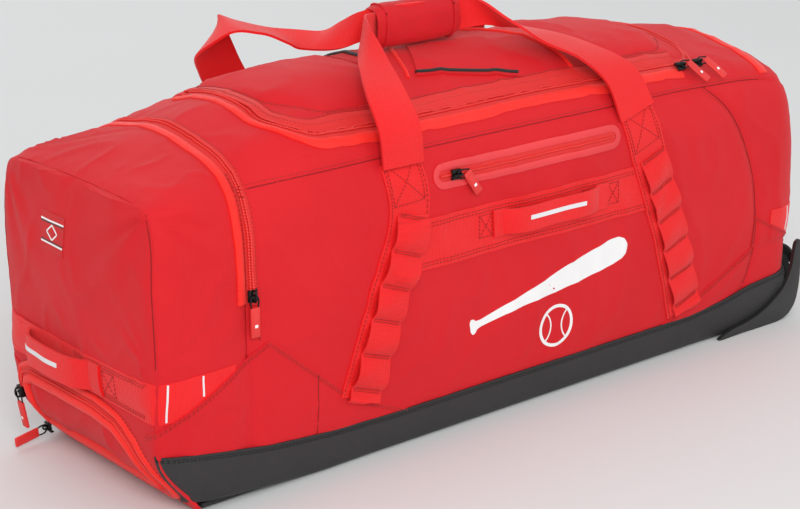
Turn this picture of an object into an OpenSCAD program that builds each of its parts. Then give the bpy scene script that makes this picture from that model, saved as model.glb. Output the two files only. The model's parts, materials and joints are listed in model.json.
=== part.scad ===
// Rolling duffel bag: a long padded bag on a coated base, with two wheels at one end.
// +X runs along the bag towards the wheels, -Y is the front face, +Z is up.
// The origin is on the floor, under the middle of the bag.

/* [Body] */
// Length of the bag body
body_l = 864; // [840:2:884]
// Width of the bag body, front face to back face
body_w = 250; // [246:1:254]
// Height of the top seam of the front and back panels
seam_h = 291; // [288:1:293]
// Height of the lid's zip above the floor
zip_h = 317; // [315:1:319]
// Height of the lid's crown
crown_h = 352; // [349:1:354]
// Thickness of the padded panels
panel_t = 4; // [3.5:0.1:4.2]
// Radius of the body's upright corners
corner_r = 20; // [16:1:24]

/* [Base] */
// Height of the coated base band
base_h = 37; // [34:1:40]
// Thickness of the coated base's side wall
base_wall = 2; // [1.8:0.1:2.2]
// Thickness of the coated base's floor
base_floor = 3; // [2.8:0.1:3.2]

/* [Zips and trim] */
// Width of a zip's coil and tape
coil_w = 11; // [10:0.5:12]
// Width of a bright zip binding
binding_w = 14; // [12:0.5:15]
// Thickness of zips and bindings
zip_t = 1.6; // [1.4:0.1:1.8]
// Length of a rubber zip pull
pull_l = 38; // [34:1:39]

/* [Straps] */
// Width of the carrying webbing
strap_w = 50; // [48:1:52]
// Thickness of the webbing
strap_t = 3; // [2.6:0.1:3.2]
// Width of the webbing band on the front
band_w = 49; // [47:1:50]
// Length of the padded grip wrap
grip_l = 106; // [102:1:110]

/* [Wheels] */
// Radius of a wheel over its tyre
wheel_r = 43; // [42:0.5:43.5]
// Width of a tyre
wheel_w = 24; // [22:1:25]
// Radius of an axle
axle_r = 4; // [3.5:0.5:5]

/* [Hidden] */
$fn = 32;

red = "#cc2833";
bright = "#ee2e2a";
black = "#262628";
white = "#f2f2f2";

half_l = body_l/2;
half_w = body_w/2;
zip_y = half_w - 25;
gap = 0.4;
eps = 0.01;

// The lid's opening, and the line of the near end's zip
lid_x0 = -272;
lid_x1 = 268;
end_zip_x = -338;
wheel_band_x = 352;
// Height at which the near flap turns, and of the zip's lower ends
flap_hinge_h = 142;
end_zip_h = 186;
divider_x = -330;
shelf_h = 98;
front_band_h = 177;
end_band_h = 98;
end_band_w = 38;

// Wheels
axle_x = half_l + 1.5 - wheel_r;
axle_h = wheel_r + 0.5;
wheel_y = half_w - 19;
hub_r = wheel_r - 12;
bore_gap = 0.05;
well_r = wheel_r + 2.5;
well_h = axle_h + well_r + 3;
well_in_y = half_w - 45;
well_x0 = axle_x - well_r - 3;

// ---------- helpers ----------

function unit(v) = v/norm(v);
function heading(path, i) = unit(path[min(i + 1, len(path) - 1)] - path[max(i - 1, 0)]);
function ring(path, i, side, w, t) =
    let (n = unit(cross(heading(path, i), side)), s = side*w/2, u = n*t/2)
    [path[i] - s - u, path[i] + s - u, path[i] + s + u, path[i] - s + u];

// Webbing of thickness t along a path, with its width w[i] along sides[i] at point i
module webbing(path, sides, w, t) {
    n = len(path);
    points = [for (i = [0:n - 1]) each ring(path, i, unit(sides[i]), w[i], t)];
    walls = [
        for (i = [0:n - 2]) for (k = [0:3])
            let (a = 4*i + k, b = 4*i + (k + 1)%4)
            each [[a, a + 4, b + 4], [a, b + 4, b]]
    ];
    last = 4*(n - 1);
    caps = [[0, 1, 2], [0, 2, 3], [last, last + 2, last + 1], [last, last + 3, last + 2]];
    polyhedron(points = points, faces = concat(walls, caps));
}

// Outline drawn as x and z, pushed through from y0 to y1
module through_y(y0, y1) {
    translate([0, y1, 0]) rotate([90, 0, 0]) linear_extrude(y1 - y0) children();
}

// Outline drawn as y and z, pushed through from x0 to x1
module through_x(x0, x1) {
    translate([x0, 0, 0]) rotate([90, 0, 90]) linear_extrude(x1 - x0) children();
}

module slab(low, high) {
    translate(low) cube(high - low);
}

module both_sides() {
    children();
    mirror([0, 1, 0]) children();
}

// Side view of the body, drawn in by i on every side
function side_outline(i) = [
    [-half_l + 40 + i, base_floor + i], [-half_l + 3 + i, 50], [-half_l - 4 + i, 92],
    [-half_l + i, flap_hinge_h], [-half_l + i, 286 - i/2], [-half_l + 36, 303 - i],
    [end_zip_x + 8, 324 - i], [lid_x0, 338 - i], [-200, crown_h + 2 - i], [195, crown_h + 2 - i],
    [lid_x1, 336 - i], [wheel_band_x + 8, 320 - i], [half_l - 34, 296 - i],
    [half_l - 14 - i, 268 - i/2], [half_l - 4 - i, 190], [half_l - i, 120], [half_l - i, base_floor + i]
];

// Cross-section of the body: upright sides, a sloping shoulder and an arched crown
function crown_z(y, i) = crown_h - i - (crown_h - zip_h)*pow(abs(y)/zip_y, 2);
function section_half(i) = [
    [half_w - i, base_floor + i], [half_w - i, seam_h - 6 - i/2], [half_w - 6 - 0.8*i, seam_h + 9 - 0.7*i],
    for (k = [0:4]) let (y = zip_y*(1 - k/5)) [y, crown_z(y, i)]
];
function flipped(p) = [for (k = [len(p) - 1:-1:0]) [-p[k][0], p[k][1]]];
function section_outline(i) = concat(section_half(i), [[0, crown_h - i]], flipped(section_half(i)));

// Plan view of the body, a rectangle with round corners
function corner_arc(cx, cy, r, a0) = [for (k = [0:5]) [cx + r*cos(a0 + 18*k), cy + r*sin(a0 + 18*k)]];
function plan_outline(i) =
    let (x = half_l + 4 - corner_r, y = half_w - corner_r, r = corner_r - i)
    concat(corner_arc(x, y, r, 0), corner_arc(-x, y, r, 90), corner_arc(-x, -y, r, 180), corner_arc(x, -y, r, 270));

module side_core(i) {
    through_y(-300, 300) polygon(side_outline(i));
}

module body_solid(i) {
    intersection() {
        side_core(i);
        through_x(-500, 500) polygon(section_outline(i));
        translate([0, 0, -5]) linear_extrude(450) polygon(plan_outline(i));
    }
}

module shell() {
    difference() {
        body_solid(0);
        body_solid(panel_t);
    }
}

// A thin layer of thickness t lying on the body, kept inside the child's volume
module layer(t) {
    intersection() {
        difference() {
            body_solid(-t);
            body_solid(0);
        }
        children();
    }
}

// The volume that the near flap takes with it when it turns down
module flap_zone(grow) {
    through_y(-200, 200) polygon([
        [-480, flap_hinge_h - grow], [-half_l + 2, flap_hinge_h - grow], [end_zip_x + grow, end_zip_h - grow],
        [end_zip_x + grow, 400], [-480, 400]
    ]);
}

// The corner that each wheel housing takes out of the panels and the base
module housing_zone() {
    both_sides() slab([half_l - 32, -half_w - 20, -5], [half_l + 20, -well_in_y + gap, well_h + gap]);
}

module shoe_door_zone(grow) {
    slab([-460, -104 - grow, 20 - grow], [-395, 104 + grow, 88 + grow]);
}

// ---------- base and panels ----------

module base_boot() color(black) difference() {
    intersection() {
        translate([0, 0, -base_floor]) body_solid(-base_wall);
        slab([-480, -200, 0], [480, 200, base_h]);
    }
    body_solid(0);
    through_y(-200, 200) polygon([[-480, -5], [-half_l + 38, -5], [-half_l + 8, 60], [-480, 60]]);
    slab([-480, -117, -5], [-394, 117, 60]);
    housing_zone();
    both_sides() slab([well_x0 - gap, -half_w + 4.2, -5], [480, -well_in_y + gap, 20]);
}

module bottom_board() color(black) difference() {
    slab([-385, -118, base_floor + eps], [420, 118, base_floor + 4]);
    both_sides() slab([well_x0 - 1, -200, 0], [480, -well_in_y + 1, 20]);
}

module side_wall() {
    difference() {
        intersection() {
            shell();
            side_core(panel_t + 0.05);
            slab([-500, -half_w - 1, base_floor + 4.2], [500, 0, seam_h]);
        }
        flap_zone(gap);
        housing_zone();
    }
}
module front_panel() color(red) side_wall();
module back_panel() color(red) mirror([0, 1, 0]) side_wall();

module near_end_panel() color(red) difference() {
    intersection() {
        difference() {
            body_solid(0);
            side_core(panel_t);
        }
        slab([-480, -200, base_floor + 4.2], [-378, 200, flap_hinge_h - gap]);
    }
    shoe_door_zone(gap);
}

module wheel_end_panel() color(red) difference() {
    intersection() {
        difference() {
            body_solid(0);
            side_core(panel_t);
        }
        slab([half_l - 60, -200, base_floor + 4.2], [480, 200, seam_h]);
    }
    housing_zone();
}

module shoulder() {
    difference() {
        intersection() {
            shell();
            slab([end_zip_x + gap, -200, seam_h], [480, -zip_y, 420]);
        }
        flap_zone(gap);
    }
}
module shoulders() color(red) both_sides() shoulder();

module top_near_panel() color(red) intersection() {
    shell();
    slab([end_zip_x + gap, -zip_y + eps, seam_h], [lid_x0, zip_y - eps, 420]);
}
module top_wheel_panel() color(red) intersection() {
    shell();
    slab([lid_x1, -zip_y + eps, seam_h], [480, zip_y - eps, 420]);
}

module end_divider() color(black) intersection() {
    body_solid(panel_t + 0.5);
    slab([divider_x, -200, base_floor + 4.5], [divider_x + 3, 200, 420]);
}
module shoe_shelf() color(black) intersection() {
    body_solid(panel_t + 0.5);
    slab([-480, -200, shelf_h], [divider_x - eps, 200, shelf_h + 3]);
}

// ---------- trim sewn to the body ----------

// Reinforcing patches at the four lower corners, drawn as x and z
near_patch = [[-460, base_h + 0.2], [-460, 88], [-432, 93], [-316, 150], [-221, 70], [-150, base_h + 0.2]];
wheel_patch = [[205, base_h + 0.2], [345, 98], [460, 96], [460, base_h + 0.2]];

module corner_patches() color(red) difference() {
    layer(1) both_sides() {
        through_y(-200, -half_w + 12) polygon(near_patch);
        through_y(-200, -half_w + 12) polygon(wheel_patch);
    }
    flap_zone(gap);
    housing_zone();
    slab([-480, -117, 0], [-395, 117, 98]);
}

module front_band() color(bright) layer(2) slab([-170, -200, front_band_h], [188, 0, front_band_h + band_w]);

module end_band(x0, x1, patch) {
    difference() {
        layer(2) slab([x0, -200, end_band_h], [x1, 200, end_band_h + end_band_w]);
        both_sides() through_y(-210, -half_w + 12) polygon(patch);
    }
}
module near_end_band() color(bright) end_band(-480, -356, near_patch);
module wheel_end_band() color(bright) difference() {
    end_band(392, 480, wheel_patch);
    housing_zone();
}

// Front straps are sewn down on the front and back panels, splaying towards the base
near_strap = [[-176, 244], [-182, 283], [-134, 283], [-126, 240], [-190, 57], [-237, 77]];
wheel_strap = [[143, 240], [129, 283], [177, 283], [192, 244], [255, 66], [218, 48]];
module strap_anchors() color(bright) both_sides() through_y(-half_w - 4, -half_w - 2.2) {
    polygon(near_strap);
    polygon(wheel_strap);
}

// Gear loops: short arched folds of webbing along the lower part of each front strap
loops = 5;
module daisy_chain(top, foot) {
    for (k = [0:loops - 1]) let (p = top + (foot - top)*(k + 0.5)/loops)
        translate([p[0], -half_w - 4, p[1]]) rotate([0, atan2(top[0] - foot[0], top[1] - foot[1]), 0])
            rotate([0, 90, 0]) translate([0, 0, -19]) linear_extrude(38)
                polygon([[-11, 0], [-6, -5], [6, -5], [11, 0]]);
}
module daisy_chains() color(bright) {
    daisy_chain([-163, 205], [-205, 82]);
    daisy_chain([181, 205], [226, 76]);
}

// White print on the front: a bat over a ball
bat_half = [[-110, 8], [-104, 8], [-101, 4], [-40, 6], [30, 12], [90, 14], [104, 11], [110, 5]];
function below(p) = [for (k = [len(p) - 1:-1:0]) [p[k][0], -p[k][1]]];
module emblem() color(white) layer(0.6) through_y(-200, 0) {
    translate([34, 124]) rotate(11) polygon(concat(bat_half, below(bat_half)));
    translate([44, 78]) difference() {
        circle(r = 23);
        circle(r = 19.5);
    }
}

module stadium(w, h) {
    hull() for (s = [-1, 1]) translate([s*(w - h)/2, 0]) circle(d = h);
}
pocket_c = [4, 0, 263];
module pocket_frame() color(bright) layer(1) through_y(-200, 0) translate([pocket_c[0], pocket_c[2]]) difference() {
    stadium(250, 25);
    stadium(236, 11);
}
module pocket_zip() color(red) layer(0.7) through_y(-200, 0) translate([pocket_c[0], pocket_c[2]]) stadium(235.5, 10.5);

// Frame in plan around the lid's opening, from its edge out to distance w
module lid_frame(inner, outer) {
    difference() {
        slab([lid_x0 - outer, -zip_y - outer, seam_h], [lid_x1 + outer, zip_y - 3, 420]);
        slab([lid_x0 - inner, -zip_y - inner, 0], [lid_x1 + inner, 200, 420]);
    }
}
module lid_zip_outer() color(bright) layer(zip_t) lid_frame(0, coil_w + binding_w);

module end_zip_coil() color(red) layer(zip_t)
    slab([end_zip_x + gap, -200, end_zip_h], [end_zip_x + gap + coil_w, 200, 420]);
module wheel_end_binding() color(bright) layer(zip_t)
    slab([wheel_band_x, -200, seam_h - 8], [wheel_band_x + 20, 200, 420]);

// Zip and piped edge round the shoe compartment's door
module shoe_zip() color(bright) difference() {
    layer(zip_t) slab([-470, -116, 6], [-395, 116, 97]);
    slab([-480, -104 - gap, 20 - gap], [-390, 104 + gap, 88 + gap]);
}

// ---------- wheel housings ----------

guard_points = [
    [300, 0], [half_l - 30, 0], [half_l - 15, 5], [half_l - 5, 17], [half_l, 33], [half_l + 1, 78], [half_l - 4, 92],
    [half_l - 11, 84], [half_l - 13, 64], [half_l - 25, 41], [half_l - 44, 27], [half_l - 67, 16],
    [half_l - 92, 11], [half_l - 114, 7], [300, 4]
];
// Smooth closed curve through points, n steps to each, kept off the floor
function between(a, b, c, d, t) = 0.5*(2*b + (c - a)*t + (2*a - 5*b + 4*c - d)*t*t + (3*b - a - 3*c + d)*t*t*t);
function smoothed(p, n) = [
    for (i = [0:len(p) - 1], k = [0:n - 1])
        let (q = between(p[(i + len(p) - 1)%len(p)], p[i], p[(i + 1)%len(p)], p[(i + 2)%len(p)], k/n))
        [q[0], max(0, q[1])]
];
module housing() color(black) difference() {
    union() {
        through_y(-half_w - 7, -half_w - 2.4) polygon(smoothed(guard_points, 4));
        slab([half_l - 31, -half_w - 3, 4], [half_l - 1, -half_w + 5, well_h]);
        slab([well_x0, -half_w + 4.6, 0.5], [half_l - 1, -well_in_y, well_h]);
    }
    translate([axle_x, -half_w + 7, axle_h]) rotate([-90, 0, 0]) cylinder(r = well_r, h = 34, $fn = 64);
    slab([axle_x - well_r, -half_w + 7, -1], [axle_x + 80, -half_w + 41, axle_h]);
    slab([axle_x + 20, -half_w - 10, -1], [axle_x + 80, -half_w + 7.1, 0.5]);
    translate([axle_x, -half_w - 2, axle_h]) rotate([-90, 0, 0]) cylinder(r = axle_r + bore_gap, h = 60);
}
module housing_front() housing();
module housing_back() mirror([0, 1, 0]) housing();

// Rivet heads that hold each housing's inner wall to the base
module housing_rivets() color("silver") both_sides()
    for (p = [[360, 20], [352, 80], [422, 84]])
        translate([p[0], -well_in_y + eps, p[1]]) rotate([-90, 0, 0]) cylinder(r1 = 4, r2 = 2.6, h = 2, $fn = 24);

module axles() color("silver") both_sides()
    translate([axle_x, -half_w + 4.7, axle_h]) rotate([-90, 0, 0]) cylinder(r = axle_r, h = 45);

module tyre() color("#1b1b1c") translate([axle_x, -wheel_y, axle_h]) rotate([90, 0, 0]) rotate_extrude($fn = 72)
    polygon([
        [hub_r + 0.02, -wheel_w/2 + 1], [wheel_r - 5, -wheel_w/2], [wheel_r - 1, -wheel_w/2 + 4], [wheel_r, 0],
        [wheel_r - 1, wheel_w/2 - 4], [wheel_r - 5, wheel_w/2], [hub_r + 0.02, wheel_w/2 - 1]
    ]);
module wheel_front() tyre();
module wheel_back() mirror([0, 1, 0]) tyre();

module hub() color("#3c3c40") translate([axle_x, -wheel_y, axle_h]) rotate([90, 0, 0]) difference() {
    union() {
        cylinder(r = hub_r, h = wheel_w - 4, center = true, $fn = 72);
        cylinder(r = axle_r + 5, h = wheel_w - 1, center = true);
    }
    cylinder(r = axle_r + bore_gap, h = 80, center = true);
    for (s = [-1, 1], k = [0:5]) rotate(60*k) translate([hub_r*0.62, 0, s*(wheel_w/2 - 3)])
        cylinder(r = 5, h = 6, center = true, $fn = 24);
}
module hub_front() hub();
module hub_back() mirror([0, 1, 0]) hub();

// ---------- lid ----------

module lid_zone(in) {
    slab([lid_x0 + in, -zip_y + in, seam_h - 30], [lid_x1 - in, zip_y - in, 420]);
}
module lid_panel() color(red) intersection() {
    shell();
    lid_zone(gap);
}
module lid_column() {
    translate([0, 0, seam_h]) linear_extrude(130) children();
}
module pod_outline(x0, x1) {
    polygon([
        [x0 + 14, -80], [x1 - 14, -80], [x1, -66], [x1, 60], [x1 - 14, 74], [x0 + 14, 74], [x0, 60], [x0, -66]
    ]);
}
module lid_pods() color(red) layer(8) {
    lid_column() pod_outline(-256, -124);
    lid_column() pod_outline(120, 252);
}
module lid_pocket() color(red) layer(3)
    lid_column() polygon([[-92, -68], [34, -68], [62, 46], [-22, 46]]);
module lid_pocket_binding() color(black) layer(4)
    lid_column() polygon([[-98, -74], [36, -74], [34.8, -68.4], [-92.2, -68.4]]);
module lid_zip_inner() color(bright) layer(zip_t) difference() {
    slab([lid_x0 + gap, -zip_y + gap, seam_h], [lid_x1 - gap, zip_y - 6, 420]);
    slab([lid_x0 + gap + 7, -zip_y + gap + 7, 0], [lid_x1 - gap - 7, 200, 430]);
}

// ---------- near flap and shoe door ----------

module flap_end_panel() color(red) intersection() {
    difference() {
        body_solid(0);
        side_core(panel_t);
    }
    slab([-480, -200, flap_hinge_h], [-half_l + 12, 200, 284]);
}
module flap_gusset() color(red) difference() {
    intersection() {
        shell();
        flap_zone(0);
    }
    slab([-480, -200, 0], [-half_l + panel_t, 200, 284 + eps]);
}
module flap_binding() color(bright) intersection() {
    layer(zip_t) slab([end_zip_x - binding_w, -200, 188], [end_zip_x, 200, 420]);
    flap_zone(0);
}
module end_label() color(white) layer(1) slab([-480, 2, 221], [-420, 42, 257]);

module shoe_door() color(red) intersection() {
    difference() {
        body_solid(-4);
        side_core(panel_t);
    }
    shoe_door_zone(0);
}

// ---------- handles ----------

// Route of the front handle: anchor, over the shoulder, grip, and down to the other anchor
front_route = [
    [-158, -131, 290], [-161, -126, 318], [-160, -106, 346], [-152, -78, 366],
    [-138, -46, 382], [-118, -20, 386], [-98, -9, 384], [14, -9, 384], [30, -18, 386], [52, -42, 376],
    [80, -66, 362], [112, -92, 346], [136, -116, 324], [152, -131, 290]
];
front_sides = [
    [-1, 0, 0], [-1, 0, 0], [-1, -0.1, 0], [-1, -0.3, -0.2], [-0.8, -0.4, -0.8], [-0.3, -0.2, -1],
    [0, 0, -1], [0, 0, -1], [0.3, -0.3, -1], [0.7, 0.6, -0.4], [1, 0.7, 0], [1, 0.6, 0.1], [1, 0.2, 0.2],
    [1, 0, 0.3]
];
leg_w = strap_w - 4;
front_widths = [leg_w, leg_w, leg_w, leg_w - 4, 36, 30, 30, 30, 30, 36, leg_w - 4, leg_w, leg_w, leg_w];
module front_handle() color(bright) webbing(front_route, front_sides, front_widths, strap_t);

back_route = [
    [-158, 131, 290], [-170, 132, 312], [-188, 126, 340], [-203, 112, 370], [-198, 100, 384], [-172, 94, 379],
    [-137, 84, 367], [-118, 60, 364], [-108, 32, 372], [-98, 9, 383], [14, 9, 383], [32, 30, 378],
    [62, 58, 372], [104, 90, 354], [136, 118, 326], [152, 131, 290]
];
back_sides = [
    [1, 0, 0], [1, 0, 0.3], [1, 0, 0.4], [0.9, 0.3, 0.5], [0.4, 0.9, 0.2], [0.1, 1, 0.1], [0.3, 0.9, 0.2],
    [0.8, 0.3, 0.4], [0.5, 0.3, 0.8], [0, 0, 1], [0, 0, 1], [-0.1, 0.3, 0.9], [-0.5, 0.7, 0.3],
    [-0.9, 0.5, 0], [-1, 0.2, 0], [-1, 0, 0]
];
back_widths = [leg_w, leg_w, leg_w, leg_w, leg_w, leg_w - 4, 36, 30, 30, 30, 30, 32, 38, leg_w, leg_w, leg_w];
module back_handle() color(bright) webbing(back_route, back_sides, back_widths, strap_t);

grip_c = [-42, 0, 384];
module grip_wrap() color(red) translate([grip_c[0] - grip_l/2, grip_c[1], grip_c[2]]) rotate([90, 0, 90])
    linear_extrude(grip_l) difference() {
        polygon([
            [-17, -12], [-14, -19], [-8, -22], [8, -22], [15, -19], [15, 19], [8, 21], [-10, 21], [-15, 18], [-17, 12]
        ]);
        polygon([[-12, -17], [30, -19], [30, 19], [-12, 17]]);
    }

// A low bow of webbing between two sewn-down ends; out is the direction away from the bag
module grab_anchors() color(bright) {
    for (x = [-46, 92]) slab([x, -half_w - 6, 192], [x + 14, -half_w - 2.05, 218]);
    for (y = [-44, 84]) slab([-half_l - 9, y, 103], [-half_l - 5.4, y + 14, 131]);
}
module front_grab() color(bright) webbing(
    [[-31.5, -half_w - 8, 205], [-24, -half_w - 13, 205], [84, -half_w - 13, 205], [91.5, -half_w - 8, 205]],
    [for (k = [0:3]) [0, 0, 1]], [for (k = [0:3]) 24], strap_t);
module end_grab() color(bright) webbing(
    [[-half_l - 10, -29, 117], [-half_l - 22, -16, 117], [-half_l - 25, 20, 117], [-half_l - 25, 40, 117],
     [-half_l - 22, 70, 117], [-half_l - 10, 83, 117]],
    [for (k = [0:5]) [0, 0, -1]], [for (k = [0:5]) 28], strap_t);

// ---------- zip sliders and pulls ----------

axis_h = 5.3;
arm_l = 12;
// Slider on a zip that runs along the local Y axis, with local Z away from the bag
module slider() color(black) {
    slab([-4.5, -6, 0.2], [4.5, 6, 4]);
    slab([-1.2, -5.5, 4 - eps], [1.2, -4, 7.8]);
    slab([-1.2, 4, 4 - eps], [1.2, 5.5, 7.8]);
    slab([-1.2, -5.5, 6.6], [1.2, 5.5, 7.8]);
}
// Pull that turns about a bar under the slider's bail, lying along local -Y. It stands up from the
// zip by the angle lift, and its rubber tab hangs aside by the angle kink.
module pull(lift = 0, kink = 0) color(red) translate([0, 0, axis_h]) rotate([-lift, 0, 0]) {
    rotate([0, 90, 0]) cylinder(r = 0.8, h = 7.6, center = true, $fn = 24);
    for (s = [-1, 1]) slab([s*3.1 - 0.7, -arm_l, -0.8], [s*3.1 + 0.7, 0, 0.8]);
    translate([0, 0.5 - arm_l, 0]) rotate(kink) slab([-4.8, arm_l - pull_l, -1.5], [4.8, 1.4, 1.7]);
}

// Places: position on the bag and turns, shared by a slider and its pull
module at_lid(x) translate([x, -zip_y - 6, zip_h - 3.4]) rotate([42, 0, 0]) rotate([0, 0, 90]) children();
module at_end() translate([end_zip_x + 6, -half_w - 1.8, 196]) rotate([90, 0, 0]) children();
module at_pocket() translate([-94, -half_w - 1, 263]) rotate([90, 0, 0]) rotate([0, 0, 90]) children();
module at_shoe_a() translate([-half_l - 2.6, 110.4, 58]) rotate([0, -99.5, 0]) rotate([0, 0, -90]) children();
module at_shoe_b() translate([-half_l + 26, 112, 12]) rotate([0, -95, 0]) children();

module lid_slider_a() at_lid(236) slider();
module lid_pull_a() at_lid(236) pull(kink = -66);
module lid_slider_b() at_lid(262) slider();
module lid_pull_b() at_lid(262) pull(kink = -66);
module end_slider() at_end() slider();
module end_pull() at_end() pull();
module pocket_slider() at_pocket() slider();
module pocket_pull() at_pocket() pull(kink = -55);
module shoe_slider_a() at_shoe_a() slider();
module shoe_pull_a() at_shoe_a() pull();
module shoe_slider_b() at_shoe_b() slider();
module shoe_pull_b() at_shoe_b() pull(lift = 80);

base_boot();
bottom_board();
front_panel();
back_panel();
near_end_panel();
wheel_end_panel();
shoulders();
top_near_panel();
top_wheel_panel();
end_divider();
shoe_shelf();
corner_patches();
front_band();
near_end_band();
wheel_end_band();
strap_anchors();
daisy_chains();
emblem();
pocket_frame();
pocket_zip();
lid_zip_outer();
end_zip_coil();
wheel_end_binding();
shoe_zip();
housing_front();
housing_back();
housing_rivets();
axles();
grab_anchors();
lid_panel();
lid_pods();
lid_pocket();
lid_pocket_binding();
lid_zip_inner();
flap_end_panel();
flap_gusset();
flap_binding();
end_label();
shoe_door();
front_handle();
grip_wrap();
back_handle();
front_grab();
end_grab();
wheel_front();
wheel_back();
hub_front();
hub_back();
lid_slider_a();
lid_pull_a();
lid_slider_b();
lid_pull_b();
end_slider();
end_pull();
pocket_slider();
pocket_pull();
shoe_slider_a();
shoe_pull_a();
shoe_slider_b();
shoe_pull_b();
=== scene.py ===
"""Looks of the rolling duffel bag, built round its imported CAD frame. Metres; +X runs to the wheels, -Y is the front."""
import json
import math

import bmesh
import bpy
import numpy as np
from mathutils import Matrix, Vector, noise
from mathutils.bvhtree import BVHTree


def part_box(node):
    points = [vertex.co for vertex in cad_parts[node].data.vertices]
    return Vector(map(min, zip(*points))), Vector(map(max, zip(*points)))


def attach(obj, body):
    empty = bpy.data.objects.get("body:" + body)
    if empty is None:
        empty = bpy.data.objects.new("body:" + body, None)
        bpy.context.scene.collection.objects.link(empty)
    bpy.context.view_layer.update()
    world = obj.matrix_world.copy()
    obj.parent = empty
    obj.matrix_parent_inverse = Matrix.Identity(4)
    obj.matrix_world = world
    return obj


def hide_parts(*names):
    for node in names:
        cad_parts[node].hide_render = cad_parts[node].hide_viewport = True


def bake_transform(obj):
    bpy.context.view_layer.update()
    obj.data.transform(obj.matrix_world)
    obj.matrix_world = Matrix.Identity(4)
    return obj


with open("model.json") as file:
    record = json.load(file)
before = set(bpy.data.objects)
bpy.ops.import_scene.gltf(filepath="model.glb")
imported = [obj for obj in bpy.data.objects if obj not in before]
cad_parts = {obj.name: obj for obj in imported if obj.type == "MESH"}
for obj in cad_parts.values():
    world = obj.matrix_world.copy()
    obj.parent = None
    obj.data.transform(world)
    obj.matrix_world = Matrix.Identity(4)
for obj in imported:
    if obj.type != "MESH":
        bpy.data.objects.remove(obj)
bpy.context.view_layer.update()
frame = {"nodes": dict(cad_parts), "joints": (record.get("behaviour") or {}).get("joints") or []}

MM = 0.001

# ---------- camera and lights ----------------

CAMERA_AT = (-1.254, -1.438, 0.765)
CAMERA_AZIMUTH, CAMERA_ELEVATION = -39.8, 18.4
LENS, SENSOR = 86.76, 36.0


def make_camera():
    """The camera at the photograph's viewpoint."""
    data = bpy.data.cameras.new("camera")
    data.lens, data.sensor_width, data.sensor_fit = LENS, SENSOR, "HORIZONTAL"
    data.clip_end = 50
    cam = bpy.data.objects.new("camera", data)
    cam.location = CAMERA_AT
    cam.rotation_euler = (math.radians(90 - CAMERA_ELEVATION), 0, math.radians(CAMERA_AZIMUTH))
    bpy.context.scene.collection.objects.link(cam)
    bpy.context.scene.camera = cam


def area_light(name, at, size, power, aim=(0, 0, 0.15)):
    """A round soft light at a point, turned towards aim."""
    data = bpy.data.lights.new(name, "AREA")
    data.shape, data.size, data.energy = "DISK", size, power
    light = bpy.data.objects.new(name, data)
    light.location = at
    light.rotation_euler = (Vector(aim) - Vector(at)).to_track_quat("-Z", "Y").to_euler()
    bpy.context.scene.collection.objects.link(light)


make_camera()
area_light("key", (-1.5, -2.1, 1.7), 1.3, 36)
area_light("fill", (1.4, -2.4, 1.2), 2.0, 7)
area_light("back", (0.6, 2.4, 1.8), 2.0, 7)

# ---------- materials ----------


def srgb(r, g, b):
    """Linear RGBA of a colour given in sRGB."""
    return tuple(((c + 0.055) / 1.055) ** 2.4 if c > 0.04045 else c / 12.92 for c in (r, g, b)) + (1.0,)


class Nodes:
    """A material's node tree, with short ways to add what the fabrics share."""

    def __init__(self, name):
        self.material = bpy.data.materials.new(name)
        self.material.use_nodes = True
        self.tree = self.material.node_tree
        self.shader = self.tree.nodes["Principled BSDF"]

    def add(self, kind, **settings):
        node = self.tree.nodes.new(kind)
        for key, value in settings.items():
            if key in node.inputs:
                node.inputs[key].default_value = value
            else:
                setattr(node, key, value)
        return node

    def link(self, source, target):
        self.tree.links.new(source, target)

    def calc(self, kind, a, b=0.0):
        """A Math node on two values or outputs."""
        node = self.tree.nodes.new("ShaderNodeMath")
        node.operation = kind
        for socket, value in zip(node.inputs, (a, b)):
            if isinstance(value, (int, float)):
                socket.default_value = value
            else:
                self.link(value, socket)
        return node.outputs[0]

    def noise(self, scale, detail=3.0, coords="Object", stretch=None):
        where = self.add("ShaderNodeTexCoord").outputs[coords]
        if stretch:
            mapping = self.add("ShaderNodeMapping")
            mapping.inputs["Scale"].default_value = stretch
            self.link(where, mapping.inputs["Vector"])
            where = mapping.outputs[0]
        tex = self.add("ShaderNodeTexNoise")
        tex.inputs["Scale"].default_value = scale
        tex.inputs["Detail"].default_value = detail
        self.link(where, tex.inputs["Vector"])
        return tex.outputs["Fac"]

    def wave(self, axis, pitch, coords="UV", lean=0.0):
        """0 to 1 ripple along one axis of the coordinates, one ripple per pitch metres."""
        split = self.add("ShaderNodeSeparateXYZ")
        self.link(self.add("ShaderNodeTexCoord").outputs[coords], split.inputs[0])
        along = split.outputs[axis]
        if lean:
            along = self.calc("ADD", along, self.calc("MULTIPLY", split.outputs[1 - axis], lean))
        swing = self.calc("SINE", self.calc("MULTIPLY", along, 2 * math.pi / pitch))
        return self.calc("ADD", self.calc("MULTIPLY", swing, 0.5), 0.5)

    def tint(self, colour, darker, by):
        """Base colour that moves from colour to darker as by goes from 0 to 1."""
        mix = self.add("ShaderNodeMix", data_type="RGBA")
        for socket, value in ((mix.inputs[6], colour), (mix.inputs[7], darker)):
            socket.default_value = value
        self.link(by, mix.inputs["Factor"])
        self.link(mix.outputs[2], self.shader.inputs["Base Color"])

    def bump(self, height, distance, strength=1.0):
        node = self.add("ShaderNodeBump")
        node.inputs["Distance"].default_value, node.inputs["Strength"].default_value = distance, strength
        self.link(height, node.inputs["Height"])
        self.link(node.outputs[0], self.shader.inputs["Normal"])

    def rough(self, by, low, high):
        """Roughness from low to high as by goes from 0 to 1."""
        spread = self.add("ShaderNodeMapRange")
        spread.inputs["To Min"].default_value, spread.inputs["To Max"].default_value = low, high
        self.link(by, spread.inputs["Value"])
        self.link(spread.outputs[0], self.shader.inputs["Roughness"])


def shade(colour, by):
    """The colour made by times as bright."""
    return tuple(c * by for c in colour[:3]) + (1.0,)


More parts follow.
